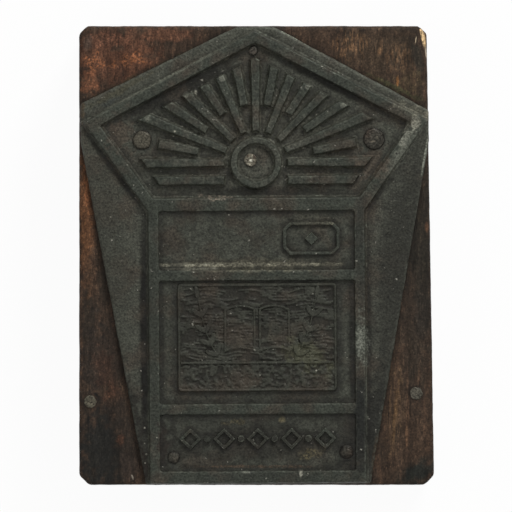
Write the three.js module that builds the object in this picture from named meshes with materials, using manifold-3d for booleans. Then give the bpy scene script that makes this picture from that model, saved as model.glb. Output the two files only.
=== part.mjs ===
// Ex libris printing block: a relief metal plate nailed on a hardwood mount.
// Sizes are millimetres. The block lies on its back with the printing face up, +Z.
// The head of the design points to +Y, and the origin is under the middle of the block's box.

import * as THREE from "three";
import { mergeVertices } from "three/addons/utils/BufferGeometryUtils.js";
import Module from "manifold-3d";

const wasm = await Module();
wasm.setup();

// Heights, from the back of the block to the printing face
const typeHeight = 23.56;
const plateThickness = 2.4;
const reliefDepth = 1.25;
const panelRise = 0.6;
const pictureDepth = 0.45;

// The design's stack, from the foot of the block to its head
const blockFootMargin = 0.25;
const footFlange = 0.3;
const footBar = 2.3;
const footPanelHeight = 11.1;
const lowerCrossBar = 2.05;
const picturePanelHeight = 24.1;
const upperCrossBar = 2.05;
const numberPanelHeight = 11.6;
const headFootBar = 2.55;
const sideRise = 17.5;
const roofRise = 17.65;
const apexFlange = 0.85;
const blockHeadMargin = 0.25;

// The design's widths
const columnHalfWidth = 21.15;
const columnBar = 2;
const headHalfWidth = 33.6;
const sideBar = 2.2;
const roofBar = 1.95;

// The plate's flange and wings
const leftFlange = 0.7;
const rightFlange = 0.3;
const wingDrop = 3.9;
const wingFootMargin = 0.85;
const leftShoulderRise = 3.7;
const rightShoulderRise = 2;
const flangeTopHalfWidth = 3.7;
const plateTurn = THREE.MathUtils.degToRad(0.4);

// The mount block
const blockSideMargin = 1.2;
const blockTaper = 1.5;
const blockFootCornerCut = 1.9;
const blockHeadCornerCut = 1.5;
const blockEdgeBreak = 0.4;

// Raised work: how far the sloping shoulder of its walls drops, and how far it runs out
const shoulderDrop = 0.6;
const shoulderRun = 0.22;
const fineShoulderDrop = 0.2;
const fineShoulderRun = 0.08;

// The sunburst in the head: a ring round the centre nail, rays, and a horizon at each side
const burstLift = 6.9;
const burstRingRadius = 5;
const burstRingStroke = 1.3;
const burstGap = 1.2;
const secondRayLead = 5.2;
const rayRootWidth = 1.1;
const rayTipWidth = 2.3;
const burstMargin = 2.6;
const rayCount = 17;
const rayStep = THREE.MathUtils.degToRad(11.25);
const nailGap = 1.4;
const horizonWidth = 1.8;
const horizonDrop = 2.6;

// The cartouche in the number panel
const cartoucheHalfLength = 5.5;
const cartoucheHalfHeight = 3.2;
const cartoucheCut = 1.3;
const cartoucheStroke = 0.6;
const cartoucheAcrossShare = 0.56;
const cartoucheUpShare = 0.53;

// The band of lozenges and beads in the foot panel
const lozengeCount = 5;
const lozengeHalfLength = 2.2;
const lozengeHalfHeight = 2.15;
const lozengeStroke = 0.62;
const lozengeGap = 2.2;
const beadRadius = 0.7;
const bandUpShare = 0.57;

// The picture
const pictureSideGap = 3.6;
const pictureTopGap = 0.55;
const pictureFootGap = 2.5;
const pictureCornerCut = 1.4;
const pictureRule = 0.5;
const sillHeight = 0.6;
const sillUpShare = 0.25;
const leafLength = 2.7;
const leafWidth = 1.15;
const leafPairs = 4;
const leafTurn = THREE.MathUtils.degToRad(38);
const stemWidth = 0.42;
const pageShares = {
  gutterFoot: [0.015, 0.35],
  footBow: [0.2, 0.43],
  outerFoot: [0.42, 0.36],
  outerHead: [0.42, 0.76],
  headBow: [0.2, 0.85],
  gutterHead: [0.015, 0.77],
};
const stemShares = { foot: [0.5, 0.33], bow: [0.66, 0.5], tip: [0.74, 0.86] };

// Nails
const headNailLeftRadius = 1.87;
const headNailRightRadius = 2.15;
const apexNailRadius = 0.93;
const centreNailRadius = 1.28;
const footNailLeftRadius = 1.18;
const footNailRightRadius = 1.38;
const sidePinRadius = 1.3;
const shankRadiusShare = 0.42;
const nailHeadHeight = 0.5;
const nailRimShare = 0.5;
const nailCrownRadiusShare = 0.68;
const nailCrownHeightShare = 0.92;
const nailLength = 12;
const sidePinLength = 14;
const sidePinSink = 0.3;
const nailPointLength = 2.2;
const nailClearance = 0.15;
const holeRunOut = 0.5;
const nailSides = 24;
const cutOverrun = 1;
const curveSteps = 5;
const ringSteps = 14;

// Levels and edges worked out from the sizes above
const blockHeight = typeHeight - plateThickness;
const baseThickness = plateThickness - reliefDepth;
const panelThickness = baseThickness + panelRise;
const columnStack = blockFootMargin + footFlange + footBar + footPanelHeight + lowerCrossBar
  + picturePanelHeight + upperCrossBar + numberPanelHeight;
const blockLength = columnStack + sideRise + roofRise + apexFlange + blockHeadMargin;
const blockFoot = -blockLength / 2;
const blockHead = blockLength / 2;
const blockHalfWidth = headHalfWidth + blockSideMargin;
const plateFoot = blockFoot + blockFootMargin;
const frameFoot = plateFoot + footFlange;
const footPanelBottom = frameFoot + footBar;
const footPanelTop = footPanelBottom + footPanelHeight;
const picturePanelBottom = footPanelTop + lowerCrossBar;
const picturePanelTop = picturePanelBottom + picturePanelHeight;
const numberPanelBottom = picturePanelTop + upperCrossBar;
const waist = numberPanelBottom + numberPanelHeight;
const corner = waist + sideRise;
const apex = corner + roofRise;
const plateTop = apex + apexFlange;
const panelHalfWidth = columnHalfWidth - columnBar;
const pictureHalfWidth = panelHalfWidth - pictureSideGap;
const pictureTop = picturePanelTop - pictureTopGap;
const pictureBottom = picturePanelBottom + pictureFootGap;
const pictureHeight = pictureTop - pictureBottom;
const pictureFloor = plateThickness - pictureDepth;

// Where the nails stand: across and up, in shares of the head, the foot panel or the block
const headNailLeftShares = [-0.662, 0.399];
const headNailRightShares = [0.688, 0.396];
const apexNailShares = [-0.012, 0.892];
const centreNailShares = [-0.032, 0.283];
const footNailLeftShares = [-0.86, 0.249];
const footNailRightShares = [0.905, 0.327];
const sidePinLeftShares = [-0.937, 0.182];
const sidePinRightShares = [0.899, 0.2];

function point(x, y) {
  return new THREE.Vector2(x, y);
}

// A straight-sided outline through the given corners.
function polygon(corners) {
  return new THREE.Shape(corners);
}

function rectangle(halfWidth, bottom, top) {
  return polygon([
    point(-halfWidth, bottom),
    point(halfWidth, bottom),
    point(halfWidth, top),
    point(-halfWidth, top),
  ]);
}

// An outline whose corners are rounded off, starting a given length before each corner.
function roundedPolygon(corners, cut) {
  const shape = new THREE.Shape();
  corners.forEach((here, index) => {
    const before = corners.at(index - 1);
    const after = corners[(index + 1) % corners.length];
    const start = here.clone().add(before.clone().sub(here).setLength(cut));
    const end = here.clone().add(after.clone().sub(here).setLength(cut));
    if (index === 0) {
      shape.moveTo(start.x, start.y);
    } else {
      shape.lineTo(start.x, start.y);
    }
    shape.quadraticCurveTo(here.x, here.y, end.x, end.y);
  });
  shape.closePath();
  return shape;
}

// An outline whose corners are cut off straight, each starting its own length before the corner.
function cutPolygon(corners, cuts) {
  return polygon(corners.flatMap((here, index) => {
    const neighbours = [corners.at(index - 1), corners[(index + 1) % corners.length]];
    return neighbours.map((next) => here.clone().add(next.clone().sub(here).setLength(cuts[index])));
  }));
}

// The corners of a convex outline, drawn in from each edge by that edge's own width.
// The edge with number i runs from corner i to the next one, anticlockwise.
function insetCorners(corners, widths) {
  const edges = corners.map((start, index) => {
    const along = corners[(index + 1) % corners.length].clone().sub(start).normalize();
    const inward = point(-along.y, along.x);
    return { start: start.clone().addScaledVector(inward, widths[index]), along };
  });
  return edges.map((edge, index) => {
    const previous = edges.at(index - 1);
    const offset = edge.start.clone().sub(previous.start);
    const reach = offset.cross(edge.along) / previous.along.cross(edge.along);
    return previous.start.clone().addScaledVector(previous.along, reach);
  });
}

function evenInset(corners, width) {
  return insetCorners(corners, corners.map(() => width));
}

// A closed three.js geometry as a solid that can be joined and cut.
function solidOf(geometry) {
  const bare = geometry.clone();
  bare.deleteAttribute("normal");
  bare.deleteAttribute("uv");
  const merged = mergeVertices(bare);
  const vertProperties = new Float32Array(merged.attributes.position.array);
  const triVerts = new Uint32Array(merged.index.array);
  return new wasm.Manifold(new wasm.Mesh({ numProp: 3, vertProperties, triVerts }));
}

function geometryOf(solid) {
  const { vertProperties, triVerts } = solid.getMesh();
  const geometry = new THREE.BufferGeometry();
  geometry.setAttribute("position", new THREE.BufferAttribute(new Float32Array(vertProperties), 3));
  geometry.setIndex(new THREE.BufferAttribute(new Uint32Array(triVerts), 1));
  geometry.computeVertexNormals();
  return geometry;
}

// A straight prism of an outline between two levels.
function prism(shape, bottom, top) {
  const geometry = new THREE.ExtrudeGeometry(shape, {
    depth: top - bottom,
    bevelEnabled: false,
    curveSegments: curveSteps,
  });
  geometry.translate(0, 0, bottom);
  return solidOf(geometry);
}

// Raised work whose flat top has the given outline and whose wall slopes out below it.
// The slope is mirrored below the floor, inside the metal that carries the work.
function raised(shape, floor, drop, run, steps = curveSteps) {
  const wall = plateThickness - floor - drop;
  const geometry = new THREE.ExtrudeGeometry(shape, {
    depth: wall,
    bevelThickness: drop,
    bevelSize: run,
    bevelSegments: 1,
    curveSegments: steps,
  });
  geometry.translate(0, 0, floor);
  return solidOf(geometry);
}

function boldRelief(shape, steps) {
  return raised(shape, baseThickness, shoulderDrop, shoulderRun, steps);
}

function fineRelief(shape, floor) {
  return raised(shape, floor, fineShoulderDrop, fineShoulderRun);
}

function join(solids) {
  return solids.reduce((whole, next) => whole.add(next));
}

// A hole's round cutter, from one level up to another.
function roundCutter(place, radius, bottom, top) {
  const geometry = new THREE.CylinderGeometry(radius, radius, top - bottom, nailSides);
  geometry.rotateX(Math.PI / 2);
  geometry.translate(place.x, place.y, (top + bottom) / 2);
  return solidOf(geometry);
}

// Nails: where each stands, how big its head is, and how thick the plate is under it
const headHeight = apex - waist;
const broadNails = [
  { name: "head_nail_left", radius: headNailLeftRadius, place: headPlace(headNailLeftShares) },
  { name: "head_nail_right", radius: headNailRightRadius, place: headPlace(headNailRightShares) },
];
const smallNails = [
  { name: "apex_nail", radius: apexNailRadius, place: headPlace(apexNailShares) },
  { name: "centre_nail", radius: centreNailRadius, place: headPlace(centreNailShares) },
];
const footNails = [
  { name: "foot_nail_left", radius: footNailLeftRadius, place: footPlace(footNailLeftShares) },
  { name: "foot_nail_right", radius: footNailRightRadius, place: footPlace(footNailRightShares) },
];
const plateNails = [
  ...[...broadNails, ...smallNails].map((nail) => ({ ...nail, seat: baseThickness })),
  ...footNails.map((nail) => ({ ...nail, seat: panelThickness })),
];
const sidePins = [
  { name: "side_pin_left", radius: sidePinRadius, place: woodPlace(sidePinLeftShares) },
  { name: "side_pin_right", radius: sidePinRadius, place: woodPlace(sidePinRightShares) },
];

// A place on the plate is turned with the plate.
function turned(place) {
  return place.rotateAround(point(0, 0), plateTurn);
}

function headPlace([acrossShare, upShare]) {
  return turned(point(acrossShare * headHalfWidth, waist + upShare * headHeight));
}

function footPlace([acrossShare, upShare]) {
  return turned(point(acrossShare * panelHalfWidth, footPanelBottom + upShare * footPanelHeight));
}

function woodPlace([acrossShare, upShare]) {
  return point(acrossShare * blockHalfWidth, blockFoot + upShare * blockLength);
}

// The flat tops of the frame: its outer outline, and the panels that it leaves open
const headCorners = [
  point(-columnHalfWidth, waist),
  point(columnHalfWidth, waist),
  point(headHalfWidth, corner),
  point(0, apex),
  point(-headHalfWidth, corner),
];
const headFieldCorners = insetCorners(headCorners, [headFootBar, sideBar, roofBar, roofBar, sideBar]);

function frameSolid() {
  const shape = polygon([
    point(-columnHalfWidth, frameFoot),
    point(columnHalfWidth, frameFoot),
    ...headCorners.slice(1),
    headCorners[0],
  ]);
  shape.holes = [
    polygon(headFieldCorners),
    rectangle(panelHalfWidth, numberPanelBottom, waist),
    rectangle(panelHalfWidth, picturePanelBottom, picturePanelTop),
    rectangle(panelHalfWidth, footPanelBottom, footPanelTop),
  ];
  return boldRelief(shape);
}

function baseSolid() {
  const leftEdge = -headHalfWidth - leftFlange;
  const rightEdge = headHalfWidth + rightFlange;
  const shape = polygon([
    point(-columnHalfWidth - wingFootMargin, plateFoot),
    point(columnHalfWidth + wingFootMargin, plateFoot),
    point(rightEdge, corner - wingDrop),
    point(rightEdge, corner + rightShoulderRise),
    point(flangeTopHalfWidth, plateTop),
    point(-flangeTopHalfWidth, plateTop),
    point(leftEdge, corner + leftShoulderRise),
    point(leftEdge, corner - wingDrop),
  ]);
  return prism(shape, 0, baseThickness);
}

// The shallower ground of the column's panels, which ends under the bars round them
function panelGroundSolid() {
  const foot = frameFoot + footBar / 2;
  return prism(rectangle(columnHalfWidth - columnBar / 2, foot, waist + headFootBar / 2), 0, panelThickness);
}

// The middle of the sunburst, before the plate is turned
const burstCentre = point(0, waist + headFootBar + burstLift);

// One ray of the sunburst. Every other ray starts further out, and the one towards a broad nail
// stops short of it.
function raySolid(index) {
  const fromUpright = index - (rayCount - 1) / 2;
  const angle = fromUpright * rayStep;
  const isSecond = fromUpright % 2 !== 0;
  const rootRadius = burstRingRadius + burstGap + (isSecond ? secondRayLead : 0);
  const farRadius = rayReach(angle);
  const widen = (rayTipWidth - rayRootWidth) / headHalfWidth;
  const rootHalf = (rayRootWidth + widen * rootRadius) / 2;
  const farHalf = (rayRootWidth + widen * farRadius) / 2;
  const corners = [
    point(-farHalf, farRadius),
    point(-rootHalf, rootRadius),
    point(rootHalf, rootRadius),
    point(farHalf, farRadius),
  ];
  const shape = polygon(corners.map((place) => place.rotateAround(point(0, 0), angle)));
  return boldRelief(shape).translate([burstCentre.x, burstCentre.y, 0]);
}

// How far a ray runs: past the frame, where it is cut off, unless a broad nail stands in its way
function rayReach(angle) {
  const centre = turned(burstCentre.clone());
  const direction = point(0, 1).rotateAround(point(0, 0), angle + plateTurn);
  const stops = broadNails.map((nail) => {
    const along = nail.place.clone().sub(centre).dot(direction);
    const aside = Math.abs(nail.place.clone().sub(centre).cross(direction));
    const inWay = along > 0 && aside < nail.radius + rayTipWidth / 2;
    return inWay ? along - nail.radius - nailGap : headHalfWidth + headHeight;
  });
  return Math.min(...stops);
}

// The horizon: a level bar at each side of the ring
function horizonSolid(side) {
  const inner = side * (burstRingRadius + burstGap);
  const outer = side * headHalfWidth;
  const top = burstCentre.y - horizonDrop;
  const bottom = top - horizonWidth;
  const corners = [point(inner, bottom), point(outer, bottom), point(outer, top), point(inner, top)];
  return boldRelief(polygon(corners));
}

function burstSolid() {
  const ring = new THREE.Shape().absarc(0, 0, burstRingRadius, 0, 2 * Math.PI);
  ring.holes = [new THREE.Path().absarc(0, 0, burstRingRadius - burstRingStroke, 0, 2 * Math.PI)];
  const ringSolid = boldRelief(ring, ringSteps).translate([burstCentre.x, burstCentre.y, 0]);
  const rays = Array.from({ length: rayCount }, (_, index) => raySolid(index));
  const spread = join([...rays, horizonSolid(-1), horizonSolid(1)]);
  const reach = prism(polygon(evenInset(headFieldCorners, burstMargin)), 0, plateThickness + cutOverrun);
  return ringSolid.add(spread.intersect(reach));
}

// A closed line of even stroke round an outline's corners
function strokedOutline(corners, stroke) {
  const shape = polygon(corners);
  shape.holes = [polygon(evenInset(corners, stroke))];
  return shape;
}

function lozengeCorners(halfLength, halfHeight) {
  return [point(halfLength, 0), point(0, halfHeight), point(-halfLength, 0), point(0, -halfHeight)];
}

function cartoucheSolid() {
  const flat = cartoucheHalfLength - cartoucheCut;
  const side = cartoucheHalfHeight - cartoucheCut;
  const corners = [
    point(-flat, -cartoucheHalfHeight),
    point(flat, -cartoucheHalfHeight),
    point(cartoucheHalfLength, -side),
    point(cartoucheHalfLength, side),
    point(flat, cartoucheHalfHeight),
    point(-flat, cartoucheHalfHeight),
    point(-cartoucheHalfLength, side),
    point(-cartoucheHalfLength, -side),
  ];
  const across = cartoucheAcrossShare * panelHalfWidth;
  const up = numberPanelBottom + cartoucheUpShare * numberPanelHeight;
  const border = fineRelief(strokedOutline(corners, cartoucheStroke), panelThickness);
  const lozenge = polygon(lozengeCorners(cartoucheCut, cartoucheCut));
  return border.add(fineRelief(lozenge, panelThickness)).translate([across, up, 0]);
}

function bandSolid() {
  const pitch = 2 * lozengeHalfLength + lozengeGap;
  const corners = lozengeCorners(lozengeHalfLength, lozengeHalfHeight);
  const bead = new THREE.Shape().absarc(0, 0, beadRadius, 0, 2 * Math.PI);
  const start = -(lozengeCount - 1) * pitch / 2;
  const pieces = [];
  for (let index = 0; index < lozengeCount; index += 1) {
    const lozenge = fineRelief(strokedOutline(corners, lozengeStroke), panelThickness);
    pieces.push(lozenge.translate([start + index * pitch, 0, 0]));
    if (index > 0) {
      pieces.push(fineRelief(bead, panelThickness).translate([start + (index - 1 / 2) * pitch, 0, 0]));
    }
  }
  return join(pieces).translate([0, footPanelBottom + bandUpShare * footPanelHeight, 0]);
}

// A place in the picture, in shares of its half width and of its height
function picturePlace([acrossShare, upShare], side) {
  return point(side * acrossShare * pictureHalfWidth, pictureBottom + upShare * pictureHeight);
}

// One page of the open book: an outline with a bowed head and foot
function pageSolid(side) {
  const gutterFoot = picturePlace(pageShares.gutterFoot, side);
  const footBow = picturePlace(pageShares.footBow, side);
  const outerFoot = picturePlace(pageShares.outerFoot, side);
  const outerHead = picturePlace(pageShares.outerHead, side);
  const headBow = picturePlace(pageShares.headBow, side);
  const gutterHead = picturePlace(pageShares.gutterHead, side);
  const shape = new THREE.Shape();
  shape.moveTo(gutterFoot.x, gutterFoot.y);
  shape.quadraticCurveTo(footBow.x, footBow.y, outerFoot.x, outerFoot.y);
  shape.lineTo(outerHead.x, outerHead.y);
  shape.quadraticCurveTo(headBow.x, headBow.y, gutterHead.x, gutterHead.y);
  shape.closePath();
  return fineRelief(shape, pictureFloor);
}

function leafSolid(place, angle) {
  const shape = new THREE.Shape();
  shape.moveTo(0, 0);
  shape.quadraticCurveTo(leafLength / 2, leafWidth, leafLength, 0);
  shape.quadraticCurveTo(leafLength / 2, -leafWidth, 0, 0);
  const degrees = THREE.MathUtils.radToDeg(angle);
  return fineRelief(shape, pictureFloor).rotate([0, 0, degrees]).translate([place.x, place.y, 0]);
}

// A laurel sprig that bends outwards beside the book, with leaves in pairs and one at its tip
function sprigSolid(side) {
  const stem = new THREE.QuadraticBezierCurve(
    picturePlace(stemShares.foot, side),
    picturePlace(stemShares.bow, side),
    picturePlace(stemShares.tip, side),
  );
  const stations = stem.getPoints(leafPairs);
  const normals = stations.map((_, index) => {
    const tangent = stem.getTangent(index / leafPairs);
    return point(-tangent.y, tangent.x).multiplyScalar(stemWidth / 2);
  });
  const leftSide = stations.map((place, index) => place.clone().add(normals[index]));
  const rightSide = stations.map((place, index) => place.clone().sub(normals[index]));
  const pieces = [fineRelief(polygon([...rightSide, ...leftSide.reverse()]), pictureFloor)];
  stations.forEach((place, index) => {
    const heading = stem.getTangent(index / leafPairs).angle();
    if (index === leafPairs) {
      pieces.push(leafSolid(place, heading));
    } else {
      pieces.push(leafSolid(place, heading + leafTurn), leafSolid(place, heading - leafTurn));
    }
  });
  return join(pieces);
}

// The picture stands on its own raised field, with a rule round it
function pictureSolid() {
  const corners = [
    point(-pictureHalfWidth, pictureBottom),
    point(pictureHalfWidth, pictureBottom),
    point(pictureHalfWidth, pictureTop),
    point(-pictureHalfWidth, pictureTop),
  ];
  const field = polygon(evenInset(corners, pictureRule));
  const plinth = boldRelief(roundedPolygon(corners, pictureCornerCut));
  const sunk = plinth.subtract(prism(field, pictureFloor, plateThickness + cutOverrun));
  const sillBottom = pictureBottom + sillUpShare * pictureHeight;
  const sillShape = rectangle(pictureHalfWidth - pictureRule, sillBottom, sillBottom + sillHeight);
  const sill = fineRelief(sillShape, pictureFloor);
  return join([sunk, sill, pageSolid(-1), pageSolid(1), sprigSolid(-1), sprigSolid(1)]);
}

// The plate, with a well round each nail's head and a hole for its shank
function plateGeometry() {
  const turnDegrees = THREE.MathUtils.radToDeg(plateTurn);
  const relief = join([frameSolid(), burstSolid(), cartoucheSolid(), bandSolid(), pictureSolid()]);
  let plate = join([baseSolid(), panelGroundSolid(), relief]).rotate([0, 0, turnDegrees]);
  for (const nail of plateNails) {
    const well = nail.radius + nailClearance;
    const hole = shankRadius(nail) + nailClearance;
    plate = plate.subtract(roundCutter(nail.place, well, nail.seat, plateThickness + cutOverrun));
    plate = plate.subtract(roundCutter(nail.place, hole, -cutOverrun, plateThickness));
  }
  return geometryOf(plate);
}

// The mount block, with a blind hole for each shank and a shallow seat for each side pin
function blockGeometry() {
  const corners = [
    point(-blockHalfWidth, blockFoot),
    point(blockHalfWidth, blockFoot),
    point(blockHalfWidth - blockTaper, blockHead),
    point(-blockHalfWidth, blockHead),
  ];
  const cuts = corners.map((here) => (here.y < 0 ? blockFootCornerCut : blockHeadCornerCut));
  const body = new THREE.ExtrudeGeometry(cutPolygon(corners, cuts), {
    depth: blockHeight - 2 * blockEdgeBreak,
    bevelThickness: blockEdgeBreak,
    bevelSize: blockEdgeBreak,
    bevelOffset: -blockEdgeBreak,
    bevelSegments: 2,
    curveSegments: curveSteps,
  });
  body.translate(0, 0, blockEdgeBreak);
  let block = solidOf(body);
  for (const nail of plateNails) {
    const bottom = blockHeight + nail.seat - nailLength - holeRunOut;
    const hole = shankRadius(nail) + nailClearance;
    block = block.subtract(roundCutter(nail.place, hole, bottom, blockHeight + cutOverrun));
  }
  for (const pin of sidePins) {
    const seat = blockHeight - sidePinSink;
    const bottom = seat - sidePinLength - holeRunOut;
    const well = pin.radius + nailClearance;
    const hole = shankRadius(pin) + nailClearance;
    block = block.subtract(roundCutter(pin.place, well, seat, blockHeight + cutOverrun));
    block = block.subtract(roundCutter(pin.place, hole, bottom, blockHeight));
  }
  return geometryOf(block);
}

function shankRadius(nail) {
  return nail.radius * shankRadiusShare;
}

// A nail turned about its own axis, with the underside of its head at height zero
function nailGeometry(nail, length) {
  const shank = shankRadius(nail);
  const profile = [
    point(0, -length),
    point(shank, nailPointLength - length),
    point(shank, 0),
    point(nail.radius, 0),
    point(nail.radius, nailHeadHeight * nailRimShare),
    point(nail.radius * nailCrownRadiusShare, nailHeadHeight * nailCrownHeightShare),
    point(0, nailHeadHeight),
  ];
  const geometry = new THREE.LatheGeometry(profile, nailSides);
  geometry.rotateX(Math.PI / 2);
  return geometry;
}

// Finishes
const wood = new THREE.MeshStandardMaterial({ color: 0x54301e, roughness: 0.7, metalness: 0 });
const plateMetal = new THREE.MeshStandardMaterial({ color: 0x4b4f47, roughness: 0.55, metalness: 0.6 });
const nailMetal = new THREE.MeshStandardMaterial({ color: 0x645c52, roughness: 0.5, metalness: 0.7 });

function named(name, geometry, material) {
  const mesh = new THREE.Mesh(geometry, material);
  mesh.name = name;
  return mesh;
}

const stamp = new THREE.Group();
stamp.add(named("mount_block", blockGeometry(), wood));

const plate = named("relief_plate", plateGeometry(), plateMetal);
plate.position.z = blockHeight;
stamp.add(plate);

for (const nail of plateNails) {
  const mesh = named(nail.name, nailGeometry(nail, nailLength), nailMetal);
  mesh.position.set(nail.place.x, nail.place.y, blockHeight + nail.seat);
  stamp.add(mesh);
}

for (const pin of sidePins) {
  const mesh = named(pin.name, nailGeometry(pin, sidePinLength), nailMetal);
  mesh.position.set(pin.place.x, pin.place.y, blockHeight - sidePinSink);
  stamp.add(mesh);
}

export default stamp;
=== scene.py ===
"""The looks of an ex libris printing block: a relief metal plate nailed on a hardwood mount.

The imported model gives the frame, in metres. The block lies on its back with the printing face
up, +Z, and the head of the design points to +Y. Each piece of the plate is modelled square to
the axes and is then turned by the small angle at which the plate was nailed on. Outlines are
seen from above, convex, and run anticlockwise.
"""

import logging
import math
from collections.abc import Callable, Iterator, Sequence
from contextlib import contextmanager
from dataclasses import dataclass, replace
from enum import Enum
from itertools import accumulate
from typing import Any, NamedTuple, Self

import bmesh
import bpy
from bpy.types import Material, Node, NodeSocket, NodeTree, Object
from mathutils import Matrix, Vector, kdtree, noise


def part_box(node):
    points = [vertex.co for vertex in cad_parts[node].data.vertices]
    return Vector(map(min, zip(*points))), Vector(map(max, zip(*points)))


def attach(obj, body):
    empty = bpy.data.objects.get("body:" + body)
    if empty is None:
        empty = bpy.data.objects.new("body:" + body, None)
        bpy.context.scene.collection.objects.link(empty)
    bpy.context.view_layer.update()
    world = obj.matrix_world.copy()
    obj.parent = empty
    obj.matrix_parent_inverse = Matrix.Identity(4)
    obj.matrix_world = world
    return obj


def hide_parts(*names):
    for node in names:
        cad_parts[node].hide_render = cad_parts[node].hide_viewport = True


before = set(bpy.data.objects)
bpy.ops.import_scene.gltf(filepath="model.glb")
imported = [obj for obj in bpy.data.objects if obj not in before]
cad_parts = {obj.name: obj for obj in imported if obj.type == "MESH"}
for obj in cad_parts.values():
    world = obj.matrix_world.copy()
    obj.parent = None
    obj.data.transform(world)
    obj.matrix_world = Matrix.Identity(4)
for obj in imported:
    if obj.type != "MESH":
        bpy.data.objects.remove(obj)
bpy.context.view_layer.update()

MM = 0.001
SNAP = 0.0001 * MM
BODY = "root"
MOUNT_NODE = "mount_block"
PLATE_NODE = "relief_plate"
CREVICE = "crevice"
CREASE = math.radians(50)
PLATE_FOOT = -44.75 * MM
NEAR_LEVEL = 0.1 * MM
WALL_SHADE_AND_DIRT_REACH = 1.15 * MM
ORNAMENT_SHADE_AND_DIRT_REACH = 0.6 * MM
NAIL_SHADE_AND_DIRT_REACH = 0.8 * MM
EDGE_SHADE_AND_DIRT_REACH = 1.5 * MM
PIN_SHADE_AND_DIRT_REACH = 0.75 * MM
STAIN_LEVEL = 22 * MM
STAIN_HALF_DEPTH = 30 * MM
BUMP_HEIGHT = 0.2 * MM
NAIL_EDGE_GAIN = 2.4
RUST_SHARES = (1.15, 0.92, 0.85, 1)
UP = Vector((0, 0, 1))
SIDES = (-1, 1)
WHITE = (1.0, 1.0, 1.0, 1.0)
SEEING_RAYS = ("Camera", "Glossy", "Transmission")

log = logging.getLogger("printing_block")

Corners = list[Vector]
Colour = tuple[float, float, float, float]
Reaches = Sequence[tuple[Sequence[Vector], float]]
Feeds = dict[str | int, Any]


class Slot(Enum):
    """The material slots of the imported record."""

    WOOD = "hardwood"
    METAL = "plate_metal"
    IRON = "nail_iron"


class Pick(Enum):
    """What edit mode selects."""

    VERTICES = "VERT"
    EDGES = "EDGE"
    FACES = "FACE"


# Outlines on the plane of the plate


def sides_of(corners: Corners) -> Iterator[tuple[Vector, Vector]]:
    """Pairs each corner of an outline with the next."""
    return zip(corners, corners[1:] + corners[:1])


def drawn_in(corners: Corners, *widths: float) -> Corners:
    """Draws an outline in from its sides.

    Args:
        corners: The outline.
        widths: How far each side moves in, or one width for all; a negative one moves out.

    Returns:
        The new outline.
    """
    if len(widths) == 1:
        widths *= len(corners)
    moved = []
    for (start, end), width in zip(sides_of(corners), widths):
        along = (end - start).normalized()
        moved.append((start + Vector((-along.y, along.x)) * width, along))
    result = []
    for index, (start, along) in enumerate(moved):
        before, before_along = moved[index - 1]
        reach = (start - before).cross(along) / before_along.cross(along)
        result.append(before + before_along * reach)
    return result


def is_inside(place: Vector, corners: Corners) -> bool:
    """Tells whether a place, seen from above, lies inside an outline."""
    return all((end - start).cross(place.xy - start) > 0 for start, end in sides_of(corners))


def box_corners(left: float, foot: float, right: float, head: float) -> Corners:
    """Gives the corners of an upright rectangle."""
    return [Vector(place) for place in ((left, foot), (right, foot), (right, head), (left, head))]


def lozenge_corners(middle: Vector, half_length: float, half_height: float) -> Corners:
    """Gives the tips of a lozenge."""
    tips = ((half_length, 0), (0, half_height), (-half_length, 0), (0, -half_height))
    return [middle + Vector(tip) for tip in tips]


def bow(start: Vector, pull: Vector, end: Vector, step: float) -> Vector:
    """Finds the point at a step from 0 to 1 along a line that bows towards another point."""
    return start * (1 - step) ** 2 + pull * 2 * step * (1 - step) + end * step**2


# The bench: a piece and the operators that shape it


@dataclass(frozen=True)
class Shoulder:
    """The wall of raised work: a spread foot, then a steeper slope up to the flat top."""

    foot_run: float
    foot_rise: float
    slope_run: float
    slope_rise: float
    sink: float = 0.35 * MM

    @property
    def run(self) -> float:
        """How far the wall's foot stands out from the flat top."""
        return self.foot_run + self.slope_run


class Lumps(NamedTuple):
    """Lumps or grain in a surface, in millimetres; level 0 raises them and level 1 sinks them."""

    size: float
    depth: float
    level: float = 0.9
    direction: str = "NORMAL"
    stretch: float = 1.0


BOLD = Shoulder(foot_run=0.45 * MM, foot_rise=0.3 * MM, slope_run=0.25 * MM, slope_rise=0.95 * MM)
FINE = Shoulder(foot_run=0.3 * MM, foot_rise=0.4 * MM, slope_run=0.12 * MM, slope_rise=0.85 * MM)
ENGRAVED = Shoulder(0.05 * MM, 0.2 * MM, 0.05 * MM, 0.25 * MM, sink=0.2 * MM)
METAL_WEAR = (Lumps(2.6, 0.12), Lumps(0.9, 0.1), Lumps(0.45, 0.05))


def release_all() -> None:
    """Leaves edit mode if need be and deselects every object."""
    if bpy.context.object and bpy.context.object.mode != "OBJECT":
        bpy.ops.object.mode_set(mode="OBJECT")
    bpy.ops.object.select_all(action="DESELECT")


def extrude_up(rise: float) -> None:
    """Extrudes what is selected, in edit mode, straight up."""
    bpy.ops.mesh.extrude_region_move(TRANSFORM_OT_translate={"value": UP * rise})


def face_outwards() -> None:
    """Turns all faces outwards, in edit mode."""
    bpy.ops.mesh.select_all(action="SELECT")
    bpy.ops.mesh.normals_make_consistent(inside=False)


def lies_at(element: Any, *levels: float) -> bool:
    """Tells whether an edge or a face lies flat at one of some levels."""
    heights = [vertex.co.z for vertex in element.verts]
    return any(max(abs(height - level) for height in heights) < SNAP for level in levels)


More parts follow.
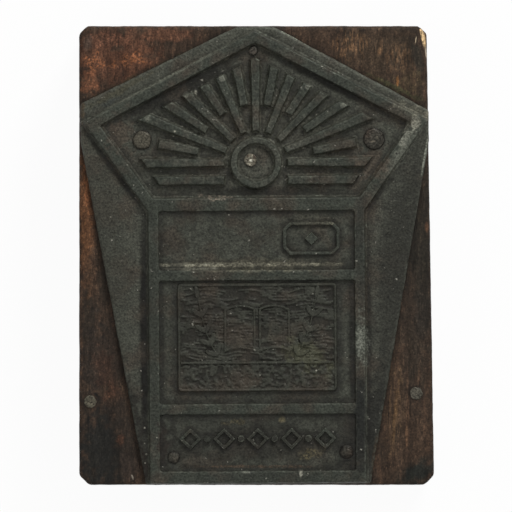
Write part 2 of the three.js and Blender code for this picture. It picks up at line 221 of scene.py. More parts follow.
class Workpiece:
    """One mesh object on the bench, shaped with operators and finished with modifiers."""

    def __init__(self, thing: Object) -> None:
        """Takes up a mesh object."""
        self.thing = thing

    @classmethod
    def add(
        cls, name: str, primitive: Callable[..., Any], scale: Sequence[float] = (1, 1, 1), **settings: Any
    ) -> Self:
        """Adds a primitive and applies its place and size to its mesh.

        Args:
            name: The piece's name.
            primitive: The operator that adds it.
            scale: How far it is stretched along each axis.
            settings: The operator's settings.

        Returns:
            The piece, with its object at the origin.
        """
        release_all()
        primitive(**settings)
        piece = cls(bpy.context.object)
        piece.thing.name = piece.thing.data.name = name
        piece.thing.scale = scale
        bpy.ops.object.transform_apply(location=True, rotation=True, scale=True)
        return piece

    @classmethod
    def slab(cls, name: str, low: Vector, high: Vector) -> Self:
        """Adds a box between two corners."""
        return cls.add(name, bpy.ops.mesh.primitive_cube_add, high - low, size=1, location=(low + high) / 2)

    @classmethod
    def sheet(cls, name: str, corners: Corners, height: float) -> Self:
        """Adds a flat face over an outline.

        Args:
            name: The piece's name.
            corners: The outline.
            height: The level that it lies at.

        Returns:
            The piece.
        """
        middle = sum(corners, Vector((0, 0))) / len(corners)
        reach = max((corner - middle).length for corner in corners)
        settings = {"size": 3 * reach, "location": (*middle, height)}
        piece = cls.add(name, bpy.ops.mesh.primitive_plane_add, **settings)
        piece.trim(corners)
        return piece

    @classmethod
    def grid(cls, name: str, corners: Corners, height: float, columns: int, rows: int) -> Self:
        """Adds an even grid over an upright rectangle.

        Args:
            name: The piece's name.
            corners: The rectangle, from its lowest corner.
            height: The level that it lies at.
            columns: How many faces it has across.
            rows: How many faces it has up.

        Returns:
            The piece.
        """
        low, _, high, _ = corners
        place = (*((low + high) / 2), height)
        settings = {"x_subdivisions": columns, "y_subdivisions": rows, "size": 1, "location": place}
        return cls.add(name, bpy.ops.mesh.primitive_grid_add, (*(high - low), 1), **settings)

    @classmethod
    def disc(cls, name: str, centre: Vector, radius: float, height: float, sides: int) -> Self:
        """Adds a flat face with a round edge of straight sides."""
        settings = {"vertices": sides, "radius": radius, "fill_type": "NGON", "location": (*centre, height)}
        return cls.add(name, bpy.ops.mesh.primitive_circle_add, **settings)

    def take(self) -> None:
        """Makes this piece the only one that is selected, and the active one."""
        release_all()
        self.thing.select_set(True)
        bpy.context.view_layer.objects.active = self.thing

    @contextmanager
    def editing(self, pick: Pick = Pick.FACES, everything: bool = False) -> Iterator[None]:
        """Holds this piece alone in edit mode.

        Args:
            pick: What is selected there.
            everything: True to start with all of it selected, False with none.

        Returns:
            A context for operators.
        """
        self.take()
        bpy.ops.object.mode_set(mode="EDIT")
        bpy.ops.mesh.select_mode(type=pick.value)
        bpy.ops.mesh.select_all(action="SELECT" if everything else "DESELECT")
        yield
        bpy.ops.object.mode_set(mode="OBJECT")

    def select(self, pick: Pick, wanted: Callable[[Any], bool]) -> None:
        """Selects, in edit mode, only what passes a test.

        Args:
            pick: What is tested.
            wanted: The test, which is given each bmesh element.
        """
        bpy.ops.mesh.select_mode(type=pick.value)
        bpy.ops.mesh.select_all(action="DESELECT")
        mesh = bmesh.from_edit_mesh(self.thing.data)
        for element in {Pick.VERTICES: mesh.verts, Pick.EDGES: mesh.edges, Pick.FACES: mesh.faces}[pick]:
            if wanted(element):
                element.select_set(True)
        mesh.select_flush_mode()
        bmesh.update_edit_mesh(self.thing.data)

    @staticmethod
    def cut(corners: Corners, discard: bool, close: bool = False) -> None:
        """Cuts the piece, in edit mode, along upright planes through an outline's sides.

        Args:
            corners: The outline.
            discard: True to throw away what lies outside.
            close: True for a solid, whose cuts are closed with faces.
        """
        for start, end in sides_of(corners):
            along = end - start
            plane = {"plane_co": (*start, 0), "plane_no": (along.y, -along.x, 0)}
            bpy.ops.mesh.select_all(action="SELECT")
            bpy.ops.mesh.bisect(clear_outer=discard, use_fill=close, threshold=SNAP, **plane)

    def trim(self, corners: Corners, close: bool = False) -> None:
        """Cuts away what lies outside an outline; the cuts of a solid are closed."""
        with self.editing():
            self.cut(corners, discard=True, close=close)

    def open_panel(self, corners: Corners) -> None:
        """Cuts an opening out of a flat sheet.

        Args:
            corners: The opening's outline.
        """
        with self.editing():
            self.cut(corners, discard=False)
            self.select(Pick.FACES, lambda face: is_inside(face.calc_center_median(), corners))
            bpy.ops.mesh.delete(type="FACE")

    def raise_work(self, shoulder: Shoulder) -> None:
        """Turns a flat sheet at the floor's level into raised work with sloping walls.

        Args:
            shoulder: The shape of its walls.
        """
        with self.editing(everything=True):
            bpy.ops.transform.translate(value=-UP * shoulder.sink)
            extrude_up(shoulder.sink)
            bpy.ops.mesh.inset(thickness=shoulder.foot_run, depth=shoulder.foot_rise)
            bpy.ops.mesh.inset(thickness=shoulder.slope_run, depth=shoulder.slope_rise)
            face_outwards()

    def modify(self, kind: str, **settings: Any) -> None:
        """Adds a modifier and applies it.

        Args:
            kind: The modifier's type.
            settings: Its settings by name.
        """
        self.take()
        bpy.ops.object.modifier_add(type=kind)
        modifier = self.thing.modifiers[-1]
        for name, value in settings.items():
            setattr(modifier, name, value)
        bpy.ops.object.modifier_apply(modifier=modifier.name)

    def fuse(self, grain: float, smoothings: int = 2) -> None:
        """Melts overlapping bodies into one skin of small even faces and softens its edges."""
        self.modify("REMESH", mode="VOXEL", voxel_size=grain, adaptivity=0)
        self.modify("SMOOTH", factor=0.5, iterations=smoothings)

    def roughen(self, *layers: Lumps) -> None:
        """Works layers of lumps into the surface, one after the other.

        Args:
            layers: The lumps.
        """
        for size, depth, level, direction, stretch in layers:
            texture = bpy.data.textures.new("lumps", "CLOUDS")
            texture.noise_scale = size * MM
            texture.noise_depth = 2
            guide = bpy.data.objects.new("grain_guide", None)
            bpy.context.collection.objects.link(guide)
            guide.scale = (1, stretch, 1)
            bpy.context.view_layer.update()
            settings = {"texture": texture, "texture_coords": "OBJECT", "texture_coords_object": guide}
            settings |= {"strength": depth * MM, "mid_level": level, "direction": direction}
            self.modify("DISPLACE", **settings)
            bpy.data.objects.remove(guide)
            bpy.data.textures.remove(texture)

    def copy(self, name: str) -> "Workpiece":
        """Copies the piece with a mesh of its own.

        Args:
            name: The copy's name.

        Returns:
            The copy.
        """
        self.take()
        bpy.ops.object.duplicate(linked=False)
        twin = bpy.context.object
        twin.name = twin.data.name = name
        return Workpiece(twin)

    def shift(self, matrix: Matrix) -> None:
        """Moves the piece, and applies that to its mesh.

        Args:
            matrix: The move.
        """
        self.take()
        self.thing.matrix_world = matrix
        bpy.ops.object.transform_apply(location=True, rotation=True, scale=True)

    def place(self, spot: Sequence[float] = (0, 0), turn: float = 0.0) -> None:
        """Turns the piece anticlockwise about the origin and then moves it to a spot."""
        self.shift(Matrix.Translation((*spot, 0)) @ Matrix.Rotation(turn, 4, "Z"))

    def fill_box(self, low: Vector, high: Vector) -> None:
        """Stretches the piece a little so that it just fills a box, after wear has shrunk it.

        Args:
            low: The box's lowest corner.
            high: The box's highest corner.
        """
        own_low, own_high = (Vector(pick(c) for c in zip(*self.thing.bound_box)) for pick in (min, max))
        stretch = [after / before for after, before in zip(high - low, own_high - own_low)]
        outwards = Matrix.Translation((low + high) / 2) @ Matrix.Diagonal(stretch).to_4x4()
        self.shift(outwards @ Matrix.Translation(-(own_low + own_high) / 2))

    def press_into(self, low: Vector, high: Vector) -> None:
        """Presses what stands out of a box flat onto the box's faces.

        Args:
            low: The box's lowest corner.
            high: The box's highest corner.
        """
        with self.editing(Pick.VERTICES):
            for axis, (near, far) in enumerate(zip(low, high)):
                flat = [int(other != axis) for other in range(3)]
                self.select(Pick.VERTICES, lambda vertex: vertex.co[axis] < near)
                bpy.ops.transform.resize(value=flat, center_override=low)
                self.select(Pick.VERTICES, lambda vertex: vertex.co[axis] > far)
                bpy.ops.transform.resize(value=flat, center_override=high)

    def mark_crevices(self, reaches: Reaches) -> None:
        """Stores on each vertex how close it lies, seen from above, to the nearest wall or rim.

        Args:
            reaches: Sets of points along walls or rims, each with the distance at which it fades.
        """
        vertices = self.thing.data.vertices
        values = [0.0] * len(vertices)
        for points, reach in reaches:
            tree = kdtree.KDTree(len(points))
            for index, point in enumerate(points):
                tree.insert((point.x, point.y, 0), index)
            tree.balance()
            for index, vertex in enumerate(vertices):
                distance = tree.find((vertex.co.x, vertex.co.y, 0))[2]
                values[index] = max(values[index], 1 - distance / reach)
        self.thing.data.attributes.new(CREVICE, "FLOAT", "POINT").data.foreach_set("value", values)

    def hand_over(self, material: Material, slot: Slot, *nodes: str) -> None:
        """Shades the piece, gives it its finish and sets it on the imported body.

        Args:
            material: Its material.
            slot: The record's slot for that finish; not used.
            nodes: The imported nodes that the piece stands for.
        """
        self.take()
        bpy.ops.object.shade_smooth_by_angle(angle=CREASE)
        self.thing.data.materials.append(material)
        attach(self.thing, BODY)
        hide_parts(*nodes)
        log.info("%s: %d faces", self.thing.name, len(self.thing.data.polygons))


def joined(first: Workpiece, *others: Workpiece) -> Workpiece:
    """Joins other pieces into a first one.

    Args:
        first: The first piece.
        others: The pieces that are used up.

    Returns:
        The first piece, which now holds them all.
    """
    first.take()
    for other in others:
        other.thing.select_set(True)
    bpy.ops.object.join()
    return first


# Shader nodes and the groups that several finishes share


def rgb(red: int, green: int, blue: int) -> Colour:
    """Turns a colour in steps from 0 to 255 into the linear one that shaders use."""
    shares = (red / 255, green / 255, blue / 255)
    return (*(((share + 0.055) / 1.055) ** 2.4 for share in shares), 1.0)


class NodeTray:
    """Lays nodes into one tree and wires them."""

    def __init__(self, tree: NodeTree) -> None:
        """Takes up a node tree."""
        self.tree = tree

    def wire(self, node: Node, feeds: Feeds) -> None:
        """Feeds a node's inputs.

        Args:
            node: The node.
            feeds: Other nodes' outputs, or plain values, by the input's name or number.
        """
        for key, value in feeds.items():
            if isinstance(value, NodeSocket):
                self.tree.links.new(value, node.inputs[key])
            else:
                node.inputs[key].default_value = value

    def add(self, kind: str, feeds: Feeds, out: str | int = 0, **settings: Any) -> NodeSocket:
        """Adds a shader node.

        Args:
            kind: Its type.
            feeds: What its inputs are fed.
            out: The output that is wanted.
            settings: Its properties by name.

        Returns:
            That output.
        """
        node = self.tree.nodes.new(f"ShaderNode{kind}")
        for name, value in settings.items():
            setattr(node, name, value)
        self.wire(node, feeds)
        return node.outputs[out]

    def coordinates(self, *stretch: float) -> NodeSocket:
        """The object's own coordinates, scaled on each axis if need be."""
        own = self.add("TexCoord", {}, "Object")
        return self.add("Mapping", {"Vector": own, "Scale": stretch}) if stretch else own

    def clouds(self, feature: float, vector: Any = None, detail: float = 3.0) -> NodeSocket:
        """Soft noise from 0 to 1 with features of a size in millimetres."""
        feeds = {"Vector": vector or self.coordinates(), "Scale": 1 / (feature * MM), "Detail": detail}
        return self.add("TexNoise", feeds)

    def span(self, value: Any, low: Any, high: Any, first: float = 0.0, last: float = 1.0) -> NodeSocket:
        """Eases a value from the range of low to high into that of first to last."""
        feeds = {"Value": value, "From Min": low, "From Max": high, "To Min": first, "To Max": last}
        return self.add("MapRange", feeds, interpolation_type="SMOOTHSTEP")

    def maths(self, operation: str, first: Any, second: Any) -> NodeSocket:
        """A sum of two values, kept from 0 to 1."""
        return self.add("Math", {0: first, 1: second}, operation=operation, use_clamp=True)

    def times(self, first: Any, second: Any) -> NodeSocket:
        """The product of two masks."""
        return self.maths("MULTIPLY", first, second)

    def sway(self, base: Any, cloud: Any, depth: Any) -> NodeSocket:
        """A value that soft noise moves up and down by a depth."""
        centred = self.add("Math", {0: cloud, 1: 0.5}, operation="SUBTRACT")
        return self.add("Math", {0: centred, 1: depth, 2: base}, operation="MULTIPLY_ADD")

    def blend(self, colour: Any, other: Any, mask: Any, strength: float = 1.0) -> NodeSocket:
        """Lays another colour over one, as far as a mask and a strength say."""
        return self.add("Mix", {0: self.times(mask, strength), 6: colour, 7: other}, 2, data_type="RGBA")

    def toned(self, colour: Any, value: Any) -> NodeSocket:
        """A colour multiplied by a value."""
        return self.add("Mix", {0: 1.0, 6: colour, 7: value}, 2, data_type="RGBA", blend_type="MULTIPLY")

    def group(self, tree: NodeTree, **feeds: Any) -> NodeSocket:
        """Places a shared group."""
        return self.add("Group", feeds, node_tree=tree)

    def bump(self, height: Any, strength: float) -> NodeSocket:
        """The normal of a surface with fine bumps."""
        return self.add("Bump", {"Height": height, "Strength": strength, "Distance": BUMP_HEIGHT})

    def seen_directly(self) -> NodeSocket:
        """Masks the rays of the camera, of gloss and of glass."""
        camera, gloss, glass = (self.add("LightPath", {}, f"Is {ray} Ray") for ray in SEEING_RAYS)
        return self.maths("ADD", self.maths("ADD", camera, gloss), glass)


class SharedEffects:
    """Node groups that more than one finish uses, each built once."""

    vectors = ("Centre", "Spread", "Grain")

    def __init__(self) -> None:
        """Builds the groups."""
        self.patches = self.built(self.cloudy_patches, "Scale", "Low", "High")
        self.speckle = self.built(self.fine_speckle, "Scale", "Depth")
        self.worn_edges = self.built(self.edge_wear, "Reach")
        self.settled_shade_and_dirt = self.built(self.wall_shade_and_dirt, "Amount")
        self.stain = self.built(self.ragged_stain, *self.vectors, "Turn", "Ragged", "Crumbs")

    def built(self, lay: Callable[..., NodeSocket], *inputs: str) -> NodeTree:
        """Builds a group with named inputs and one output.

        Args:
            lay: Lays the group's nodes, given a tray and the inputs, and gives their result.
            inputs: The inputs' names.

        Returns:
            The group.
        """
        tree = bpy.data.node_groups.new(lay.__name__, "ShaderNodeTree")
        for name in inputs:
            kind = "NodeSocketVector" if name in self.vectors else "NodeSocketFloat"
            tree.interface.new_socket(name, in_out="INPUT", socket_type=kind)
        tree.interface.new_socket("Mask", in_out="OUTPUT", socket_type="NodeSocketFloat")
        tray = NodeTray(tree)
        given = tree.nodes.new("NodeGroupInput").outputs[:len(inputs)]
        tray.wire(tree.nodes.new("NodeGroupOutput"), {0: lay(tray, *given)})
        return tree

    @staticmethod
    def cloudy_patches(tray: NodeTray, scale: Any, low: Any, high: Any) -> NodeSocket:
        """Lays cloudy patches: noise of one scale, cut off between two levels."""
        feeds = {"Vector": tray.coordinates(), "Scale": scale, "Detail": 4.0}
        return tray.span(tray.add("TexNoise", feeds), low, high)

    @staticmethod
    def fine_speckle(tray: NodeTray, scale: Any, depth: Any) -> NodeSocket:
        """Lays a fine grain of light and dark specks, as a tone to multiply a colour by."""
        feeds = {"Vector": tray.coordinates(), "Scale": scale, "Detail": 2.0, "Roughness": 0.75}
        return tray.sway(1.0, tray.add("TexNoise", feeds), depth)

    @staticmethod
    def edge_wear(tray: NodeTray, reach: Any) -> NodeSocket:
        """Lays wear on sharp convex places, broken up by noise into stretches and crumbs.

        Args:
            tray: The group's nodes.
            reach: How pointed an edge is where it is bare.

        Returns:
            The mask.
        """
        edges = tray.span(tray.add("NewGeometry", {}, "Pointiness"), 0.51, reach)
        crumbs = tray.span(tray.clouds(0.7), 0.35, 0.6)
        stretches = tray.span(tray.clouds(5), 0.38, 0.62, 0.15, 1.0)
        return tray.times(edges, tray.times(crumbs, stretches))

    @staticmethod
    def wall_shade_and_dirt(tray: NodeTray, amount: Any) -> NodeSocket:
        """Lays painted shade and settled dirt along walls, thicker in some places than in others.

        Args:
            tray: The group's nodes.
            amount: How thick it lies.

        Returns:
            The mask.
        """
        near = tray.add("Attribute", {}, "Fac", attribute_name=CREVICE)
        uneven = tray.span(tray.clouds(1.8), 0.3, 0.7, 0.55, 1.0)
        return tray.times(tray.times(near, uneven), amount)

    @staticmethod
    def ragged_stain(
        tray: NodeTray, centre: Any, spread: Any, grain: Any, turn: Any, ragged: Any, crumbs: Any
    ) -> NodeSocket:
        """Lays a stain with a ragged rim round a centre.

        Args:
            tray: The group's nodes.
            centre: Its middle.
            spread: Its half width, height and depth.
            grain: How its crumbs are drawn out.
            turn: Its turn.
            ragged: How uneven its rim is.
            crumbs: How far it is broken into crumbs.

        Returns:
            The mask.
        """
        feeds = {"Vector": tray.coordinates(), "Center": centre, "Angle": turn}
        turned = tray.add("VectorRotate", feeds, rotation_type="Z_AXIS")
        offset = tray.add("VectorMath", {0: turned, 1: centre}, operation="SUBTRACT")
        scaled = tray.add("VectorMath", {0: offset, 1: spread}, operation="DIVIDE")
        distance = tray.add("VectorMath", {0: scaled}, "Value", operation="LENGTH")
        whole = tray.span(tray.sway(distance, tray.clouds(1.6, detail=5.0), ragged), 1.0, 0.35)
        drawn_out = tray.add("VectorMath", {0: tray.coordinates(), 1: grain}, operation="MULTIPLY")
        crumbled = tray.times(whole, tray.span(tray.clouds(0.42, drawn_out, 1.0), 0.44, 0.6))
        return tray.add("Mix", {0: crumbs, 2: whole, 3: crumbled}, data_type="FLOAT")


class Stain(NamedTuple):
    """A patch where a finish changes: its middle and its half width and height, in millimetres.

    Its colour is in steps from 0 to 255, and its turn in degrees, anticlockwise. A ragged patch has
    an uneven rim. A crumbly one is broken into crumbs, which a small grain draws out along Y into
    fibres.
    """

    across: float
    up: float
    half_width: float
    half_height: float
    colour: tuple[int, int, int]
    strength: float = 0.7
    turn: float = 0.0
    ragged: float = 2.4
    crumbs: float = 0.0
    grain: float = 1.0


def stained(tray: NodeTray, shared: SharedEffects, colour: Any, stains: Sequence[Stain]) -> Any:
    """Lays stains over a colour, one after the other.

    Args:
        tray: The material's nodes.
        shared: The shared groups.
        colour: The colour under them.
        stains: The stains.

    Returns:
        The stained colour.
    """
    for stain in stains:
        mask = tray.group(
            shared.stain,
            Centre=(stain.across * MM, stain.up * MM, STAIN_LEVEL),
            Spread=(stain.half_width * MM, stain.half_height * MM, STAIN_HALF_DEPTH),
            Grain=(1, stain.grain, 1),
            Turn=-math.radians(stain.turn),
            Ragged=stain.ragged,
            Crumbs=stain.crumbs,
        )
        colour = tray.blend(colour, rgb(*stain.colour), mask, stain.strength)
    return colour


def new_material(name: str) -> tuple[Material, NodeTray, Node]:
    """Starts a material.

    Args:
        name: Its name.

    Returns:
        The material, a tray for its nodes and its Principled shader.
    """
    material = bpy.data.materials.new(name)
    material.use_nodes = True
    tree = material.node_tree
    return material, NodeTray(tree), tree.nodes["Principled BSDF"]


@dataclass(frozen=True)
class MetalFinish:
    """Dull oxidised metal: oxides in patches, speckle, painted shade and dirt by the walls, pale worn
    edges.
    """

    name: str
    oxide: Colour
    warm_oxide: Colour
    floor_oxide: Colour
    edge: Colour
    dirt: Colour
    speck: Colour
    wall_foot: float
    wall_top: float
    foot_fade: float = 0.3 * MM
    top_fade: float = 0.35 * MM
    top_margin: float = 0.12 * MM
    patch_size: float = 6 * MM
    blotch_size: float = 2.2 * MM
    speckle_size: float = 0.42 * MM
    pit_size: float = 0.9 * MM
    speck_size: float = 0.85 * MM
    metallic: float = 0.3
    roughness: float = 0.6
    specular: float = 0.2
    wear: float = 0.6
    speckle: float = 3.0
    wall_shade_and_dirt: float = 0.15
    bump: float = 0.5
    stains: tuple[Stain, ...] = ()
    painted_shadows: tuple[Stain, ...] = ()

    def material(self, shared: SharedEffects) -> Material:
        """Builds the material.

        Args:
            shared: The shared groups.

        Returns:
            The material.
        """
        material, tray, shader = new_material(self.name)
        height = tray.add("SeparateXYZ", {"Vector": tray.coordinates()}, "Z")
        # Painted shadows along the feet of the bars, laid on the floor's colour so that the tops cover
        # them.
        colour = stained(tray, shared, self.floor_oxide, self.painted_shadows)
        colour = tray.blend(colour, self.oxide, tray.span(height, self.wall_foot, self.wall_top))
        warm = tray.group(shared.patches, Scale=1 / self.patch_size, Low=0.45, High=0.68)
        colour = tray.blend(colour, self.warm_oxide, warm, 0.8)
        blotches = tray.group(shared.speckle, Scale=1 / self.blotch_size, Depth=1.5)
        colour = stained(tray, shared, tray.toned(colour, blotches), self.stains)
        speckle = tray.group(shared.speckle, Scale=1 / self.speckle_size, Depth=self.speckle)
        colour = tray.toned(colour, speckle)
        # Painted shade on the walls between the floor and the tops, mixed with dirt.
        colour = tray.blend(colour, self.dirt, self.wall_mask(tray, height), self.wall_shade_and_dirt)
        # Painted shade and settled dirt at the feet of walls and round nails, from the crevice attribute.
        dirt = tray.group(shared.settled_shade_and_dirt, Amount=0.75)
        colour = tray.blend(colour, self.dirt, dirt)
        pits = tray.group(shared.patches, Scale=1 / self.pit_size, Low=0.63, High=0.72)
        colour = tray.blend(colour, self.dirt, pits, 0.55)
        colour = tray.blend(colour, self.edge, tray.group(shared.worn_edges, Reach=0.56), self.wear)
        specks = tray.group(shared.patches, Scale=1 / self.speck_size, Low=0.7, High=0.74)
        grain = tray.clouds(0.4)
        lumps = tray.add("Math", {0: tray.clouds(1.6), 1: 1.4, 2: grain}, operation="MULTIPLY_ADD")
        feeds = {
            "Base Color": tray.blend(colour, self.speck, specks, 0.6),
            "Metallic": tray.span(dirt, 0, 1, self.metallic, 0.0),
            "Roughness": tray.span(tray.clouds(1.1), 0.3, 0.7, self.roughness - 0.1, self.roughness + 0.12),
            "Specular IOR Level": self.specular,
            "Normal": tray.bump(lumps, self.bump),
        }
        tray.wire(shader, feeds)
        return material

    def wall_mask(self, tray: NodeTray, height: NodeSocket) -> NodeSocket:
        """Masks the walls between the floor and the flat tops.

        Args:
            tray: The material's nodes.
            height: The height.

        Returns:
            1 half way up the walls, 0 on the floor and on the tops.
        """
        fade_start, fade_end = self.wall_top - self.top_fade, self.wall_top - self.top_margin
        above = tray.span(height, self.wall_foot, self.wall_foot + self.foot_fade)
        below = tray.span(height, fade_start, fade_end, 1.0, 0.0)
        return tray.times(above, below)


@dataclass(frozen=True)
class WoodFinish:
    """Dark stained hardwood: cloudy stain, streaks, growth rings, speckle, pores, and painted shade with
    grime along the plate's edge and round the pins.
    """

    name: str
    dark: Colour
    brown: Colour
    warm: Colour
    fibre: Colour
    pore: Colour
    dirt: Colour
    stains: tuple[Stain, ...] = ()
    roughness: float = 0.66
    specular: float = 0.15
    speckle_size: float = 0.36 * MM
    ring_shift: tuple[float, float, float] = (0.012, 0.0, 0.055)
    ring_scale: float = 170.0

    def material(self, shared: SharedEffects) -> Material:
        """Builds the material.

        Args:
            shared: The shared groups.

        Returns:
            The material.
        """
        material, tray, shader = new_material(self.name)
        clouds = tray.clouds(5, tray.coordinates(1, 0.45, 1), 4.0)
        colour = tray.blend(self.dark, self.brown, tray.span(clouds, 0.36, 0.62))
        streaks = tray.clouds(1.3, tray.coordinates(1, 0.12, 1), 4.0)
        colour = tray.blend(colour, self.warm, tray.span(streaks, 0.48, 0.68, 0.0, 0.7))
        colour = stained(tray, shared, colour, self.stains)
        colour = tray.toned(colour, tray.span(self.rings(tray), 0.2, 0.8, 0.86, 1.12))
        fine = tray.clouds(0.7, tray.coordinates(1, 0.3, 1), 4.0)
        colour = tray.toned(colour, tray.span(fine, 0.3, 0.7, 0.7, 1.25))
        fibres = tray.span(tray.clouds(0.34, tray.coordinates(1, 0.3, 1), 1.0), 0.56, 0.72, 0.0, 0.5)
        colour = tray.blend(colour, tray.toned(colour, self.fibre), fibres)
        speckle = tray.group(shared.speckle, Scale=1 / self.speckle_size, Depth=2.8)
        colour = tray.toned(colour, speckle)
        pores = tray.span(tray.clouds(0.4, tray.coordinates(1, 0.14, 1)), 0.6, 0.7)
        colour = tray.blend(colour, self.pore, pores, 0.55)
        height = tray.maths("SUBTRACT", tray.times(fine, 0.8), tray.times(pores, 0.5))
        feeds = {
            # Painted shade and grime along the plate's edge and round the pins, from the crevice attribute.
            "Base Color": tray.blend(colour, self.dirt, tray.group(shared.settled_shade_and_dirt, Amount=0.95)),
            "Roughness": tray.span(streaks, 0.3, 0.7, self.roughness + 0.1, self.roughness - 0.08),
            "Specular IOR Level": self.specular,
            "Normal": tray.bump(height, 0.6),
        }
        tray.wire(shader, feeds)
        return material

    def rings(self, tray: NodeTray) -> NodeSocket:
        """Draws growth rings round an axis that runs along the block, far below it.

        Args:
            tray: The material's nodes.

        Returns:
            The rings' value.
        """
        shifted = tray.add("Mapping", {"Vector": tray.coordinates(), "Location": self.ring_shift})
        feeds = {
            "Vector": shifted,
            "Scale": self.ring_scale,
            "Distortion": 3.0,
            "Detail": 3.0,
            "Detail Scale": 0.35,
        }
        return tray.add("TexWave", feeds, "Fac", wave_type="RINGS", rings_direction="Y")


@dataclass(frozen=True)
class StudioFinish:
    """A pale backdrop that shows white to the camera and keeps a faint shadow."""

    name: str
    shown_share: float = 0.95
    tone: float = 0.9

    def material(self) -> Material:
        """Builds the material.

        Returns:
            The material.
        """
        material, tray, shader = new_material(self.name)
        tray.tree.nodes.remove(shader)
        paper = tray.add("BsdfDiffuse", {"Color": (self.tone, self.tone, self.tone, 1)})
        glow = tray.add("Emission", {"Color": WHITE, "Strength": 1.0})
        seen = tray.times(tray.seen_directly(), self.shown_share)
        mixed = tray.add("MixShader", {0: seen, 1: paper, 2: glow})
        tray.wire(tray.tree.nodes["Material Output"], {"Surface": mixed})
        return material


# The design's layout on the plate


@dataclass
class PlateLayout:
    """Where the design stands on the plate, before the plate is turned on the block."""

    back: float
    plate_foot: float
    thickness: float = 2.4 * MM
    relief_depth: float = 1.25 * MM
    panel_rise: float = 0.6 * MM
    picture_depth: float = 0.45 * MM
    turn: float = math.radians(0.4)

    foot_flange: float = 0.3 * MM
    foot_bar: float = 2.3 * MM
    foot_panel_height: float = 11.1 * MM
    lower_cross_bar: float = 2.05 * MM
    picture_panel_height: float = 24.1 * MM
    upper_cross_bar: float = 2.05 * MM
    number_panel_height: float = 11.6 * MM
    head_foot_bar: float = 2.55 * MM
    side_rise: float = 17.5 * MM
    roof_rise: float = 17.65 * MM
    apex_flange: float = 0.85 * MM

    column_half_width: float = 21.15 * MM
    column_bar: float = 2 * MM
    head_half_width: float = 33.6 * MM
    side_bar: float = 2.2 * MM
    roof_bar: float = 1.95 * MM

    left_flange: float = 0.7 * MM
    right_flange: float = 0.3 * MM
    wing_drop: float = 3.9 * MM
    wing_foot_margin: float = 0.85 * MM
    left_shoulder_rise: float = 3.7 * MM
    right_shoulder_rise: float = 2 * MM
    flange_top_half_width: float = 3.7 * MM

    def __post_init__(self) -> None:
        """Works out the levels, and stacks bars and panels up the plate from its foot."""
        self.top = self.back + self.thickness
        self.floor = self.top - self.relief_depth
        self.picture_floor = self.top - self.picture_depth
        self.panel_half_width = self.column_half_width - self.column_bar
        rises = (self.foot_flange, self.foot_bar, self.foot_panel_height, self.lower_cross_bar)
        rises += (self.picture_panel_height, self.upper_cross_bar, self.number_panel_height)
        _, self.frame_foot, *heights = accumulate(rises, initial=self.plate_foot)
        self.foot_panel_bottom, self.foot_panel_top, self.picture_panel_bottom, *heights = heights
        self.picture_panel_top, self.number_panel_bottom, self.waist = heights
        self.corner = self.waist + self.side_rise
        self.apex = self.corner + self.roof_rise

    @property
    def head_corners(self) -> Corners:
        """The outline of the head's frame.

        Returns:
            Its corners, from the waist's left.
        """
        waist = [Vector((side * self.column_half_width, self.waist)) for side in SIDES]
        roof = ((self.head_half_width, self.corner), (0, self.apex), (-self.head_half_width, self.corner))
        return waist + [Vector(place) for place in roof]

    @property
    def head_field_corners(self) -> Corners:
        """The outline of the open field inside the head's frame."""
        widths = (self.head_foot_bar, self.side_bar, self.roof_bar, self.roof_bar, self.side_bar)
        return drawn_in(self.head_corners, *widths)

    @property
    def base_corners(self) -> Corners:
        """The outline of the whole plate, with its flange and its wings.

        Returns:
            Its corners, from the foot's left.
        """
        left = -self.head_half_width - self.left_flange
        right = self.head_half_width + self.right_flange
        foot = self.column_half_width + self.wing_foot_margin
        head = self.apex + self.apex_flange
        places = (
            (-foot, self.plate_foot),
            (foot, self.plate_foot),
            (right, self.corner - self.wing_drop),
            (right, self.corner + self.right_shoulder_rise),
            (self.flange_top_half_width, head),
            (-self.flange_top_half_width, head),
            (left, self.corner + self.left_shoulder_rise),
            (left, self.corner - self.wing_drop),
        )
        return [Vector(place) for place in places]

    def panel(self, foot: float, head: float) -> Corners:
        """The outline of one of the column's panels, between two heights."""
        return box_corners(-self.panel_half_width, foot, self.panel_half_width, head)

    def sheltered_feet(self, *pieces: Workpiece) -> list[Vector]:
        """Gathers the points at the feet of raised work where painted shade and dirt gather.

        Args:
            pieces: The raised work.

        Returns:
            The points, without those on the lit open slope outside the roof bars.
        """
        head = self.head_corners
        level = self.floor + NEAR_LEVEL
        feet = [v.co.copy() for piece in pieces for v in piece.thing.data.vertices if v.co.z < level]
        return [foot for foot in feet if foot.y < self.corner or is_inside(foot, head)]

    def unturned(self, place: Vector) -> Vector:
        """Takes a place on the block back to where it lies before the plate is turned.

        Args:
            place: The place.

        Returns:
            Where it was, seen from above.
        """
        flat = place.xy
        flat.rotate(Matrix.Rotation(-self.turn, 2))
        return flat


# The mount


